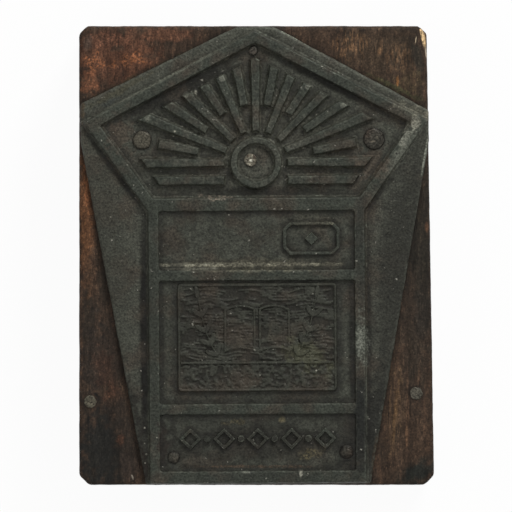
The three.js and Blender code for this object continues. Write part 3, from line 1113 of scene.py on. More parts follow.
@dataclass
class MountBlock:
    """The hardwood mount, sawn a little out of square, with its corners cut off."""

    finish: WoodFinish
    taper: float = 1.5 * MM
    foot_cut: float = 1.9 * MM
    head_cut: float = 1.5 * MM
    edge_break: float = 0.45 * MM
    planed: float = 0.05 * MM
    grain: float = 0.5 * MM

    def build(self, shared: SharedEffects, crevices: Reaches) -> None:
        """Models and dresses the block.

        Args:
            shared: The shared groups.
            crevices: Where painted shade and dirt lie along the plate's edge and round the pins.
        """
        low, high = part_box(MOUNT_NODE)
        piece = Workpiece.slab("wood_mount", low, high)
        with piece.editing(Pick.VERTICES):
            piece.select(Pick.VERTICES, lambda vertex: min(vertex.co.xy) > 0)
            bpy.ops.transform.translate(value=(-self.taper, 0, 0))
            for side, end in ((-1, -1), (1, -1), (1, 1), (-1, 1)):
                piece.select(Pick.EDGES, lambda edge: self.stands_at(edge, side, end))
                cut = self.head_cut if end > 0 else self.foot_cut
                bpy.ops.mesh.bevel(offset=cut, segments=1, affect="EDGES")
            piece.select(Pick.EDGES, lambda edge: lies_at(edge, low.z, high.z))
            bpy.ops.mesh.bevel(offset=self.edge_break, segments=3, affect="EDGES")
        piece.fuse(self.grain)
        piece.roughen(Lumps(7, 0.14, 0.5), Lumps(1.6, 0.1, 0.5), Lumps(0.7, 0.1, 0.5, stretch=9))
        shaving = Vector((self.planed, self.planed, 0))
        piece.fill_box(low - shaving, high + shaving)
        piece.press_into(low, high)
        piece.mark_crevices(crevices)
        piece.hand_over(self.finish.material(shared), Slot.WOOD, MOUNT_NODE)

    @staticmethod
    def stands_at(edge: Any, side: int, end: int) -> bool:
        """Tells whether an edge is the upright one at a corner of the block."""
        first, second = (vertex.co for vertex in edge.verts)
        return (first - second).xy.length < SNAP and min(first.x * side, first.y * end) > 0


# The plate


@dataclass
class BaseSheet:
    """The plate's sheet: its uneven etched floor, its flange and its wings."""

    layout: PlateLayout
    finish: MetalFinish
    grain: float = 0.35 * MM
    edge_round: float = 0.3 * MM

    def build(self, shared: SharedEffects, crevices: Reaches) -> Workpiece:
        """Models and dresses the sheet.

        Args:
            shared: The shared groups.
            crevices: Where painted shade and dirt lie at the feet of walls and round nails.

        Returns:
            The sheet.
        """
        layout = self.layout
        piece = Workpiece.sheet("plate_base", layout.base_corners, layout.back)
        with piece.editing(everything=True):
            extrude_up(layout.floor - layout.back)
            face_outwards()
            piece.select(Pick.EDGES, lambda edge: lies_at(edge, layout.floor))
            bpy.ops.mesh.bevel(offset=self.edge_round, segments=2, affect="EDGES")
        piece.fuse(self.grain)
        piece.roughen(Lumps(4, 0.15, 0.5), Lumps(1.2, 0.12, 0.5), Lumps(0.5, 0.06, 0.5))
        piece.place(turn=layout.turn)
        low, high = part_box(PLATE_NODE)
        piece.fill_box(low, Vector((*high.xy, layout.floor + NEAR_LEVEL)))
        piece.mark_crevices(crevices)
        piece.hand_over(self.finish.material(shared), Slot.METAL, PLATE_NODE)
        return piece


@dataclass
class FrameBars:
    """The flat raised bars: the gabled head and the column with its three panels."""

    layout: PlateLayout
    grain: float = 0.2 * MM

    def build(self) -> Workpiece:
        """Models the bars as one worn skin. The column's run up under the head's lowest bar.

        Returns:
            The frame.
        """
        layout = self.layout
        half = layout.column_half_width
        outline = box_corners(-half, layout.frame_foot, half, layout.waist + layout.head_foot_bar)
        panels = (
            layout.panel(layout.foot_panel_bottom, layout.foot_panel_top),
            layout.panel(layout.picture_panel_bottom, layout.picture_panel_top),
            layout.panel(layout.number_panel_bottom, layout.waist),
        )
        head = self.bars("frame_bars", layout.head_corners, layout.head_field_corners)
        piece = joined(head, self.bars("column_bars", outline, *panels))
        piece.fuse(self.grain)
        piece.roughen(*METAL_WEAR)
        return piece

    def bars(self, name: str, outline: Corners, *panels: Corners) -> Workpiece:
        """Models the bars round open panels.

        Args:
            name: The piece's name.
            outline: Their outline.
            panels: The panels' outlines.

        Returns:
            The bars.
        """
        piece = Workpiece.sheet(name, drawn_in(outline, -BOLD.run), self.layout.floor)
        for panel in panels:
            piece.open_panel(drawn_in(panel, BOLD.run))
        piece.raise_work(BOLD)
        piece.trim(self.layout.base_corners, close=True)
        return piece


@dataclass
class PanelGrounds:
    """The grounds of the column's panels, which lie higher than the floor of the head."""

    layout: PlateLayout
    grain: float = 0.28 * MM

    def build(self) -> Workpiece:
        """Models one lumpy slab under the column's bars.

        Returns:
            The grounds.
        """
        layout = self.layout
        half = layout.panel_half_width + layout.column_bar / 2
        foot = layout.foot_panel_bottom - layout.foot_bar / 2
        head = layout.waist + layout.head_foot_bar / 2
        low = Vector((-half, foot, layout.floor - BOLD.sink))
        high = Vector((half, head, layout.floor + layout.panel_rise))
        piece = Workpiece.slab("panel_grounds", low, high)
        piece.fuse(self.grain, smoothings=1)
        piece.roughen(Lumps(3.5, 0.3, 0.5), Lumps(1.1, 0.2, 0.5), Lumps(0.55, 0.08, 0.5))
        return piece


@dataclass
class WornRidge:
    """The beaten ridge that runs above the upper cross bar."""

    layout: PlateLayout
    width: float = 0.8 * MM
    gap: float = 0.55 * MM
    sunk: float = 0.35 * MM
    end_gap: float = 0.6 * MM
    grain: float = 0.14 * MM

    def build(self) -> Workpiece:
        """Models the ridge.

        Returns:
            The ridge.
        """
        layout = self.layout
        foot = layout.number_panel_bottom + self.gap
        half = layout.panel_half_width - self.end_gap
        outline = drawn_in(box_corners(-half, foot, half, foot + self.width), -FINE.run)
        piece = Workpiece.sheet("worn_ridge", outline, layout.floor - self.sunk)
        piece.raise_work(FINE)
        piece.fuse(self.grain)
        piece.roughen(Lumps(3, 0.7, 0.5, "Y"), Lumps(2.2, 0.5, 1.0, "Z"), Lumps(0.7, 0.2))
        return piece


@dataclass
class Sunburst:
    """The head's ornament: a ring round the centre nail, rays, and a horizon at each side."""

    layout: PlateLayout
    lift: float = 6.9 * MM
    ring_radius: float = 5 * MM
    ring_stroke: float = 1.3 * MM
    gap: float = 1.2 * MM
    second_ray_lead: float = 5.2 * MM
    ray_root_width: float = 1.1 * MM
    ray_tip_width: float = 2.3 * MM
    margin: float = 2.6 * MM
    ray_count: int = 17
    ray_step: float = math.radians(11.25)
    nail_gap: float = 1.4 * MM
    horizon_width: float = 1.8 * MM
    horizon_drop: float = 2.6 * MM
    ring_sides: int = 72
    grain: float = 0.2 * MM
    broad_nails: tuple[str, ...] = ("head_nail_left", "head_nail_right")

    @property
    def centre(self) -> Vector:
        """The middle of the ring."""
        return Vector((0, self.layout.waist + self.layout.head_foot_bar + self.lift))

    def build(self) -> Workpiece:
        """Models the ornament as one worn skin. All rays are copied from one that is too long.

        Returns:
            The sunburst.
        """
        reach = self.layout.head_half_width
        root, tip = self.ray_root_width / 2, self.ray_tip_width / 2
        corners = [Vector(place) for place in ((-root, 0), (root, 0), (tip, reach), (-tip, reach))]
        long_ray = Workpiece.sheet("ray", drawn_in(corners, -BOLD.run), self.layout.floor)
        rays = (self.ray(long_ray, index) for index in range(self.ray_count))
        piece = joined(self.ring(), *rays, *(self.horizon(side) for side in SIDES))
        bpy.data.objects.remove(long_ray.thing)
        piece.fuse(self.grain)
        piece.roughen(Lumps(1.8, 0.16), *METAL_WEAR)
        return piece

    def ring(self) -> Workpiece:
        """Models the ring.

        Returns:
            The ring.
        """
        radius = self.ring_radius + BOLD.run
        piece = Workpiece.disc("head_sunburst", self.centre, radius, self.layout.floor, self.ring_sides)
        with piece.editing(everything=True):
            bpy.ops.mesh.inset(thickness=self.ring_stroke + 2 * BOLD.run, depth=0)
            bpy.ops.mesh.delete(type="FACE")
        piece.raise_work(BOLD)
        return piece

    def ray(self, long_ray: Workpiece, index: int) -> Workpiece:
        """Copies the long ray and cuts it to its length. Every other ray starts further out.

        Args:
            long_ray: The ray that is copied.
            index: The ray's number, from the right horizon round to the left.

        Returns:
            The ray.
        """
        from_upright = index - (self.ray_count - 1) / 2
        angle = from_upright * self.ray_step
        lead = self.second_ray_lead if from_upright % 2 else 0
        near = self.ring_radius + self.gap + lead - BOLD.run
        far = self.ray_reach(angle) + BOLD.run
        piece = long_ray.copy(f"ray_{index}")
        piece.trim(box_corners(-self.ray_tip_width, near, self.ray_tip_width, far))
        piece.place(self.centre, angle)
        return self.raised_bar(piece)

    def ray_reach(self, angle: float) -> float:
        """Finds how far a ray runs: past the field, unless a broad nail stands in its way.

        Args:
            angle: The ray's angle from upright.

        Returns:
            Its outer radius.
        """
        layout = self.layout
        direction = Vector((-math.sin(angle), math.cos(angle)))
        reach = layout.head_half_width + layout.apex - layout.waist
        for low, high in map(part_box, self.broad_nails):
            radius = (high.x - low.x) / 2
            offset = layout.unturned((low + high) / 2) - self.centre
            along = offset.dot(direction)
            if along > 0 and abs(offset.cross(direction)) < radius + self.ray_tip_width / 2:
                reach = min(reach, along - radius - self.nail_gap)
        return reach

    def horizon(self, side: int) -> Workpiece:
        """Models the level bar at one side of the ring.

        Args:
            side: -1 for the left one, 1 for the right one.

        Returns:
            The bar.
        """
        left, right = sorted((side * (self.ring_radius + self.gap), side * self.layout.head_half_width))
        top = self.centre.y - self.horizon_drop
        outline = drawn_in(box_corners(left, top - self.horizon_width, right, top), -BOLD.run)
        return self.raised_bar(Workpiece.sheet(f"horizon_{side}", outline, self.layout.floor))

    def raised_bar(self, piece: Workpiece) -> Workpiece:
        """Cuts a flat bar off where it nears the head's frame, and raises it.

        Args:
            piece: The flat bar with its foot's spread.

        Returns:
            The bar.
        """
        field = self.layout.head_field_corners
        piece.trim(drawn_in(field, self.margin - BOLD.run))
        piece.raise_work(BOLD)
        piece.trim(drawn_in(field, self.margin - BOLD.run / 2), close=True)
        return piece


def line_round(name: str, corners: Corners, stroke: float, floor: float) -> Workpiece:
    """Models a fine raised line round an outline.

    Args:
        name: The piece's name.
        corners: The line's outer corners.
        stroke: Its width.
        floor: The level that it rises from.

    Returns:
        The line.
    """
    piece = Workpiece.sheet(name, drawn_in(corners, -FINE.run), floor)
    piece.open_panel(drawn_in(corners, stroke + FINE.run))
    piece.raise_work(FINE)
    return piece


@dataclass
class Cartouche:
    """The number panel's ornament: an eight-sided ring round a small lozenge."""

    layout: PlateLayout
    half_length: float = 5.5 * MM
    half_height: float = 3.2 * MM
    cut: float = 1.3 * MM
    stroke: float = 0.6 * MM
    across_share: float = 0.56
    up_share: float = 0.53
    grain: float = 0.15 * MM

    def build(self) -> Workpiece:
        """Models the ornament as one worn skin.

        Returns:
            The cartouche.
        """
        layout = self.layout
        up = layout.number_panel_bottom + self.up_share * layout.number_panel_height
        middle = Vector((self.across_share * layout.panel_half_width, up))
        long, high = self.half_length, self.half_height
        flat, side = long - self.cut, high - self.cut
        half = ((-flat, -high), (flat, -high), (long, -side), (long, side))
        corners = [middle + turn * Vector(place) for turn in (1, -1) for place in half]
        ring = line_round("number_cartouche", corners, self.stroke, layout.floor)
        lozenge = drawn_in(lozenge_corners(middle, self.cut, self.cut), -FINE.run)
        stone = Workpiece.sheet("cartouche_stone", lozenge, layout.floor)
        stone.raise_work(FINE)
        piece = joined(ring, stone)
        piece.fuse(self.grain, smoothings=3)
        piece.roughen(Lumps(1, 0.14))
        return piece


@dataclass
class LozengeBand:
    """The foot panel's ornament: a row of open lozenges with beads between them."""

    layout: PlateLayout
    count: int = 5
    half_length: float = 2.2 * MM
    half_height: float = 2.15 * MM
    stroke: float = 0.62 * MM
    gap: float = 2.2 * MM
    bead_radius: float = 0.7 * MM
    bead_sides: int = 24
    up_share: float = 0.57
    grain: float = 0.15 * MM

    def build(self) -> Workpiece:
        """Models one lozenge and one bead, copies them along the band and fuses the band.

        Returns:
            The band.
        """
        layout = self.layout
        origin = Vector((0, 0))
        pitch = 2 * self.half_length + self.gap
        start = -(self.count - 1) * pitch / 2
        up = layout.foot_panel_bottom + self.up_share * layout.foot_panel_height
        corners = lozenge_corners(origin, self.half_length, self.half_height)
        lozenge = line_round("foot_band", corners, self.stroke, layout.floor)
        bead = Workpiece.disc("bead", origin, self.bead_radius + FINE.run, layout.floor, self.bead_sides)
        bead.raise_work(FINE)
        pieces = [lozenge, bead]
        for master, count, lead in ((lozenge, self.count, 0), (bead, self.count - 1, 0.5)):
            for index in range(1, count):
                twin = master.copy(f"{master.thing.name}_{index}")
                twin.place((start + (index + lead) * pitch, up))
                pieces.append(twin)
            master.place((start + lead * pitch, up))
        piece = joined(*pieces)
        piece.fuse(self.grain, smoothings=3)
        piece.roughen(Lumps(1, 0.14))
        return piece


@dataclass
class Picture:
    """The picture: a plinth with a sunk ground, an open book, two sprigs, a sill and hatching."""

    layout: PlateLayout
    side_gap: float = 3.6 * MM
    top_gap: float = 0.55 * MM
    foot_gap: float = 2.5 * MM
    corner_cut: float = 1.4 * MM
    rule: float = 0.5 * MM
    rule_slope: float = 0.1 * MM
    plinth_grain: float = 0.22 * MM
    sill_height: float = 0.6 * MM
    sill_up_share: float = 0.25
    leaf_length: float = 2.7 * MM
    leaf_width: float = 1.15 * MM
    leaf_sides: int = 12
    leaf_pairs: int = 4
    leaf_turn: float = math.radians(38)
    stem_width: float = 0.42 * MM
    page_line: float = 0.4 * MM
    page_columns: int = 10
    line_pitch: float = 0.54 * MM
    line_rise: float = 0.24 * MM
    bend: float = 1.4 * MM
    near: float = 0.02 * MM
    grain: float = 0.14 * MM
    page_across_shares: tuple[float, ...] = (0.015, 0.2, 0.42)
    page_foot_shares: tuple[float, ...] = (0.35, 0.43, 0.36)
    page_head_shares: tuple[float, ...] = (0.77, 0.85, 0.76)
    stem_across_shares: tuple[float, ...] = (0.5, 0.66, 0.74)
    stem_up_shares: tuple[float, ...] = (0.33, 0.5, 0.86)

    @property
    def corners(self) -> Corners:
        """The outline of the picture's flat top.

        Returns:
            Its corners, from the lowest.
        """
        layout = self.layout
        half = layout.panel_half_width - self.side_gap
        foot = layout.picture_panel_bottom + self.foot_gap
        return box_corners(-half, foot, half, layout.picture_panel_top - self.top_gap)

    def build(self) -> list[Workpiece]:
        """Models the plinth, the hatched ground and the drawing on it."""
        return [self.plinth(), self.ground(), self.drawing()]

    @property
    def sill(self) -> float:
        """The height of the sill's foot."""
        low, _, high, _ = self.corners
        return low.y + self.sill_up_share * (high.y - low.y)

    def spots(self, across_shares: Sequence[float], up_shares: Sequence[float], side: int) -> Corners:
        """Finds places in one half of the picture.

        Args:
            across_shares: How far across each lies, in shares of the half width.
            up_shares: How far up each lies, in shares of the height.
            side: -1 for the left half, 1 for the right half.

        Returns:
            The places.
        """
        low, _, high, _ = self.corners
        height = high.y - low.y
        shares = zip(across_shares, up_shares)
        return [Vector((side * across * high.x, low.y + up * height)) for across, up in shares]

    def page_edges(self, side: int) -> list[Corners]:
        """Finds a page's foot and head, each from the gutter over its bow to its outer end."""
        rises = (self.page_foot_shares, self.page_head_shares)
        return [self.spots(self.page_across_shares, up_shares, side) for up_shares in rises]

    def plinth(self) -> Workpiece:
        """Models the field that the picture stands on, sunk inside a rule.

        Returns:
            The plinth.
        """
        layout = self.layout
        piece = Workpiece.sheet("picture_plinth", drawn_in(self.corners, -BOLD.run), layout.floor)
        with piece.editing(Pick.VERTICES, everything=True):
            bpy.ops.mesh.bevel(offset=self.corner_cut, segments=4, affect="VERTICES")
        piece.raise_work(BOLD)
        with piece.editing():
            piece.select(Pick.FACES, lambda face: lies_at(face, layout.top))
            bpy.ops.mesh.inset(thickness=self.rule, depth=0)
            bpy.ops.mesh.inset(thickness=self.rule_slope, depth=-layout.picture_depth)
        piece.fuse(self.plinth_grain, smoothings=1)
        piece.roughen(Lumps(2.2, 0.12), Lumps(0.8, 0.08))
        return piece

    def page(self, side: int) -> Workpiece:
        """Models the line round one page, whose head and foot are bowed.

        Args:
            side: -1 for the left page, 1 for the right page.

        Returns:
            The page's outline.
        """
        feet, heads = self.page_edges(side)
        left, right = sorted((feet[0].x, feet[2].x))
        flat = box_corners(left, feet[2].y, right, heads[2].y)
        piece = Workpiece.grid(f"page_{side}", flat, self.layout.picture_floor, self.page_columns, 1)
        with piece.editing():
            for index in range(self.page_columns + 1):
                step = index / self.page_columns
                for inner, pull, outer in (feet, heads):
                    flat_place = Vector((inner.x + (outer.x - inner.x) * step, outer.y))
                    piece.select(Pick.VERTICES, lambda v: (v.co.xy - flat_place).length < self.near)
                    rise = bow(inner, pull, outer, step).y - outer.y
                    bpy.ops.transform.translate(value=(0, rise, 0))
            bpy.ops.mesh.select_mode(type="FACE")
            bpy.ops.mesh.select_all(action="SELECT")
            bpy.ops.mesh.inset(thickness=self.page_line + 2 * ENGRAVED.run, depth=0)
            bpy.ops.mesh.delete(type="FACE")
        piece.raise_work(ENGRAVED)
        return piece

    def leaf(self) -> Workpiece:
        """Models one leaf, which starts at the origin and points along +X.

        Returns:
            The leaf.
        """
        level = self.layout.picture_floor
        middle = Vector((self.leaf_length / 2, 0))
        piece = Workpiece.disc("leaf", middle, middle.x, level, self.leaf_sides)
        with piece.editing(Pick.VERTICES, everything=True):
            slim = self.leaf_width / self.leaf_length
            bpy.ops.transform.resize(value=(1, slim, 1), center_override=(*middle, level))
        piece.raise_work(ENGRAVED)
        return piece

    def sprig(self, side: int, leaf: Workpiece) -> list[Workpiece]:
        """Models a sprig that bends outwards beside the book.

        Args:
            side: -1 for the left sprig, 1 for the right one.
            leaf: The leaf that is copied along it.

        Returns:
            Its stem's lengths and its leaves.
        """
        foot, pull, tip = self.spots(self.stem_across_shares, self.stem_up_shares, side)
        last = self.leaf_pairs
        stations = [bow(foot, pull, tip, index / last) for index in range(last + 1)]
        pieces = [self.stem(start, end) for start, end in zip(stations, stations[1:])]
        for index, place in enumerate(stations):
            before = stations[max(index - 1, 0)]
            after = stations[min(index + 1, last)]
            heading = math.atan2(after.y - before.y, after.x - before.x)
            for turn in (0,) if index == last else (self.leaf_turn, -self.leaf_turn):
                twin = leaf.copy(f"leaf_{side}_{index}")
                twin.place(place, heading + turn)
                pieces.append(twin)
        return pieces

    def stem(self, start: Vector, end: Vector) -> Workpiece:
        """Models one straight length of a stem.

        Args:
            start: Where it starts.
            end: Where it ends.

        Returns:
            The length.
        """
        along = end - start
        half = self.stem_width / 2
        corners = box_corners(-half, -half, along.length + half, half)
        piece = Workpiece.sheet("stem", corners, self.layout.picture_floor)
        piece.raise_work(ENGRAVED)
        piece.place(start, math.atan2(along.y, along.x))
        return piece

    def drawing(self) -> Workpiece:
        """Models the book's outline, the sprigs and the sill as one skin.

        Returns:
            The drawing.
        """
        half = self.corners[2].x - self.rule
        outline = box_corners(-half, self.sill, half, self.sill + self.sill_height)
        sill = Workpiece.sheet("picture_drawing", outline, self.layout.picture_floor)
        sill.raise_work(ENGRAVED)
        leaf = self.leaf()
        pages = [self.page(side) for side in SIDES]
        sprigs = [piece for side in SIDES for piece in self.sprig(side, leaf)]
        bpy.data.objects.remove(leaf.thing)
        piece = joined(sill, *pages, *sprigs)
        piece.fuse(self.grain, smoothings=1)
        piece.roughen(Lumps(1, 0.1))
        return piece

    def ground(self) -> Workpiece:
        """Models the ground between the drawing's lines: bent, broken lines and stipple.

        Returns:
            The ground.
        """
        inside = drawn_in(self.corners, self.rule)
        corners = drawn_in(inside, -self.bend)
        columns, rows = (2 * round(length / self.line_pitch) for length in corners[2] - corners[0])
        piece = Workpiece.grid("picture_hatching", corners, self.layout.picture_floor, columns, rows)
        pages = []
        for side in SIDES:
            feet, heads = self.page_edges(side)
            left, right = sorted((feet[0].x, feet[2].x))
            pages.append(box_corners(left, feet[0].y, right, heads[2].y))
        with piece.editing():
            piece.select(Pick.FACES, lambda face: self.is_line(face, corners[0].y, pages))
            extrude_up(self.line_rise)
            piece.select(Pick.EDGES, lambda edge: edge.is_boundary)
            extrude_up(-self.line_rise)
            bpy.ops.mesh.edge_face_add()
            face_outwards()
        piece.roughen(Lumps(4, self.bend / MM, 0.5, "Y"), Lumps(1, 0.3, 0.5, "X"))
        piece.fuse(self.grain, smoothings=1)
        piece.roughen(Lumps(3, 0.2, 0.7, "Z"))
        piece.trim(inside, close=True)
        return piece

    def is_line(self, face: Any, foot: float, pages: list[Corners]) -> bool:
        """Tells whether a face of the ground is raised.

        The pages and the sky are lined across, and below the sill there is stipple.

        Args:
            face: The face.
            foot: The height of the ground's foot.
            pages: The boxes round the pages.

        Returns:
            True if the face is raised.
        """
        place = face.calc_center_median()
        if place.y < self.sill:
            return cloud_at(place, 0.7, 0.5, 3.5) > 0
        row = int((place.y - foot) / (self.line_pitch / 2))
        on_page = any(is_inside(place, page) for page in pages)
        gaps = -0.3 if on_page else -0.1 - 0.5 * cloud_at(place, 5, 4, 7.5)
        return row % 2 == 0 and cloud_at(place, 2.2, 0.6, 0.5) > gaps


def cloud_at(place: Vector, width: float, height: float, layer: float) -> float:
    """Reads soft noise from -1 to 1 whose features have a width and a height in millimetres."""
    return noise.noise(Vector((place.x / (width * MM), place.y / (height * MM), layer)))


# The nails


class NailHead(Enum):
    """How the hammer left a head: the slope's share of its radius, and the flat's of the rest."""

    FLAT = (0.18, 0.7)
    DOMED = (0.42, 0.35)
    FLUSH = (0.12, 0.85)


@dataclass
class Nail:
    """One nail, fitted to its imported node: a hammered head on a pointed shank."""

    node: str
    head: NailHead
    tone: Colour
    marks: tuple[Stain, ...] = ()
    shank_share: float = 0.42
    point_length: float = 2.2 * MM
    point_share: float = 0.08
    head_height: float = 0.5 * MM
    rim_share: float = 0.5
    slope_rise_share: float = 0.8
    flat_rise_share: float = 0.2
    sides: int = 32
    grain: float = 0.1 * MM

    def build(self, shared: SharedEffects) -> None:
        """Models and dresses the nail.

        Args:
            shared: The shared groups.
        """
        low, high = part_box(self.node)
        radius = (high.x - low.x) / 2
        middle = (low + high) / 2
        shank = radius * self.shank_share
        foot = Vector((*middle.xy, low.z + self.point_length))
        under_head = high.z - self.head_height
        length = under_head - foot.z
        settings = {"vertices": self.sides, "radius": shank, "depth": length}
        settings["location"] = foot + UP * (length / 2)
        piece = Workpiece.add(f"{self.node}_iron", bpy.ops.mesh.primitive_cylinder_add, **settings)
        rim = self.head_height * self.rim_share
        crown = self.head_height - rim
        slope_share, flat_share = self.head.value
        inner = radius * (1 - slope_share) * (1 - flat_share)
        with piece.editing():
            piece.select(Pick.FACES, lambda face: lies_at(face, foot.z))
            extrude_up(-self.point_length)
            self.widen((*middle.xy, low.z), self.point_share)
            piece.select(Pick.FACES, lambda face: lies_at(face, under_head))
            extrude_up(0)
            self.widen((*middle.xy, under_head), radius / shank)
            extrude_up(rim)
            bpy.ops.mesh.inset(thickness=radius * slope_share, depth=crown * self.slope_rise_share)
            bpy.ops.mesh.inset(thickness=inner, depth=crown * self.flat_rise_share)
            face_outwards()
        piece.fuse(self.grain)
        piece.roughen(Lumps(1.1, 0.22, 0.5), Lumps(0.5, 0.12, 0.5))
        piece.fill_box(low, high)
        finish = replace(nail_finish(f"{self.node}_tarnish", self.tone, high.z), stains=self.marks)
        piece.hand_over(finish.material(shared), Slot.IRON, self.node)

    @staticmethod
    def widen(centre: Sequence[float], factor: float) -> None:
        """Widens what is selected, in edit mode, about the nail's axis."""
        bpy.ops.transform.resize(value=(factor, factor, 1), center_override=centre)

    def rim_points(self, count: int = 24) -> list[Vector]:
        """Gives points round the head's rim.

        Args:
            count: How many.

        Returns:
            The points.
        """
        low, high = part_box(self.node)
        radius = (high.x - low.x) / 2
        angles = [2 * math.pi * index / count for index in range(count)]
        return [(low + high) / 2 + Vector((math.cos(a), math.sin(a), 0)) * radius for a in angles]


# The studio


@dataclass
class Studio:
    """The pale floor, the soft lamps, the world and the camera."""

    field_width: float = 100.2 * MM
    field_level: float = 22.5 * MM
    centre: tuple[float, float] = (-0.12 * MM, -0.09 * MM)
    lens: float = 500.0
    sensor: float = 36.0
    floor_size: float = 3.0
    world_strength: float = 0.42
    key_place: tuple[float, float, float] = (0.364, 0.759, 0.56)
    key_size: float = 0.34
    key_power: float = 7.6
    fill_place: tuple[float, float, float] = (-0.35, -0.2, 1.0)
    fill_size: float = 0.8
    fill_power: float = 1.0

    def build(self) -> None:
        """Sets up everything that isn't the object."""
        ground = Workpiece.add("studio_floor", bpy.ops.mesh.primitive_plane_add, size=self.floor_size)
        ground.thing.data.materials.append(StudioFinish("studio_paper").material())
        self.world()
        self.softbox("key_light", self.key_place, self.key_size, self.key_power)
        self.softbox("fill_light", self.fill_place, self.fill_size, self.fill_power)
        self.camera()
        bpy.context.scene.view_settings.view_transform = "Standard"

    def world(self) -> None:
        """Lights the room evenly and shows white to the camera."""
        world = bpy.data.worlds.new("studio_world")
        bpy.context.scene.world = world
        world.use_nodes = True
        tray = NodeTray(world.node_tree)
        nodes = tray.tree.nodes
        nodes.remove(nodes["Background"])
        strengths = (self.world_strength, 1.0)
        light, shown = (tray.add("Background", {"Color": WHITE, "Strength": power}) for power in strengths)
        mixed = tray.add("MixShader", {0: tray.seen_directly(), 1: light, 2: shown})
        tray.wire(nodes["World Output"], {"Surface": mixed})

    @staticmethod
    def hang(name: str, equipment: bpy.types.ID, place: Sequence[float]) -> Object:
        """Hangs a lamp or a camera, which points down until it is turned.

        Args:
            name: Its name.
            equipment: The lamp or the camera.
            place: Where it hangs.

        Returns:
            Its object.
        """
        holder = bpy.data.objects.new(name, equipment)
        holder.location = place
        bpy.context.scene.collection.objects.link(holder)
        return holder

    def softbox(self, name: str, place: Sequence[float], size: float, power: float) -> None:
        """Hangs a square soft lamp that faces the object.

        Args:
            name: Its name.
            place: Where it hangs.
            size: Its width.
            power: Its power in watts.
        """
        lamp = bpy.data.lights.new(name, "AREA")
        lamp.shape = "SQUARE"
        lamp.size = size
        lamp.energy = power
        holder = self.hang(name, lamp, place)
        holder.rotation_euler = (-Vector(place)).to_track_quat("-Z", "Y").to_euler()

    def camera(self) -> None:
        """Hangs the camera straight above the printing face."""
        lens = bpy.data.cameras.new("photo_camera")
        lens.lens = self.lens
        lens.sensor_width = self.sensor
        lens.clip_end = 10.0
        height = self.field_level + self.field_width * self.lens / self.sensor
        bpy.context.scene.camera = self.hang("photo_camera", lens, (*self.centre, height))


# Finishes


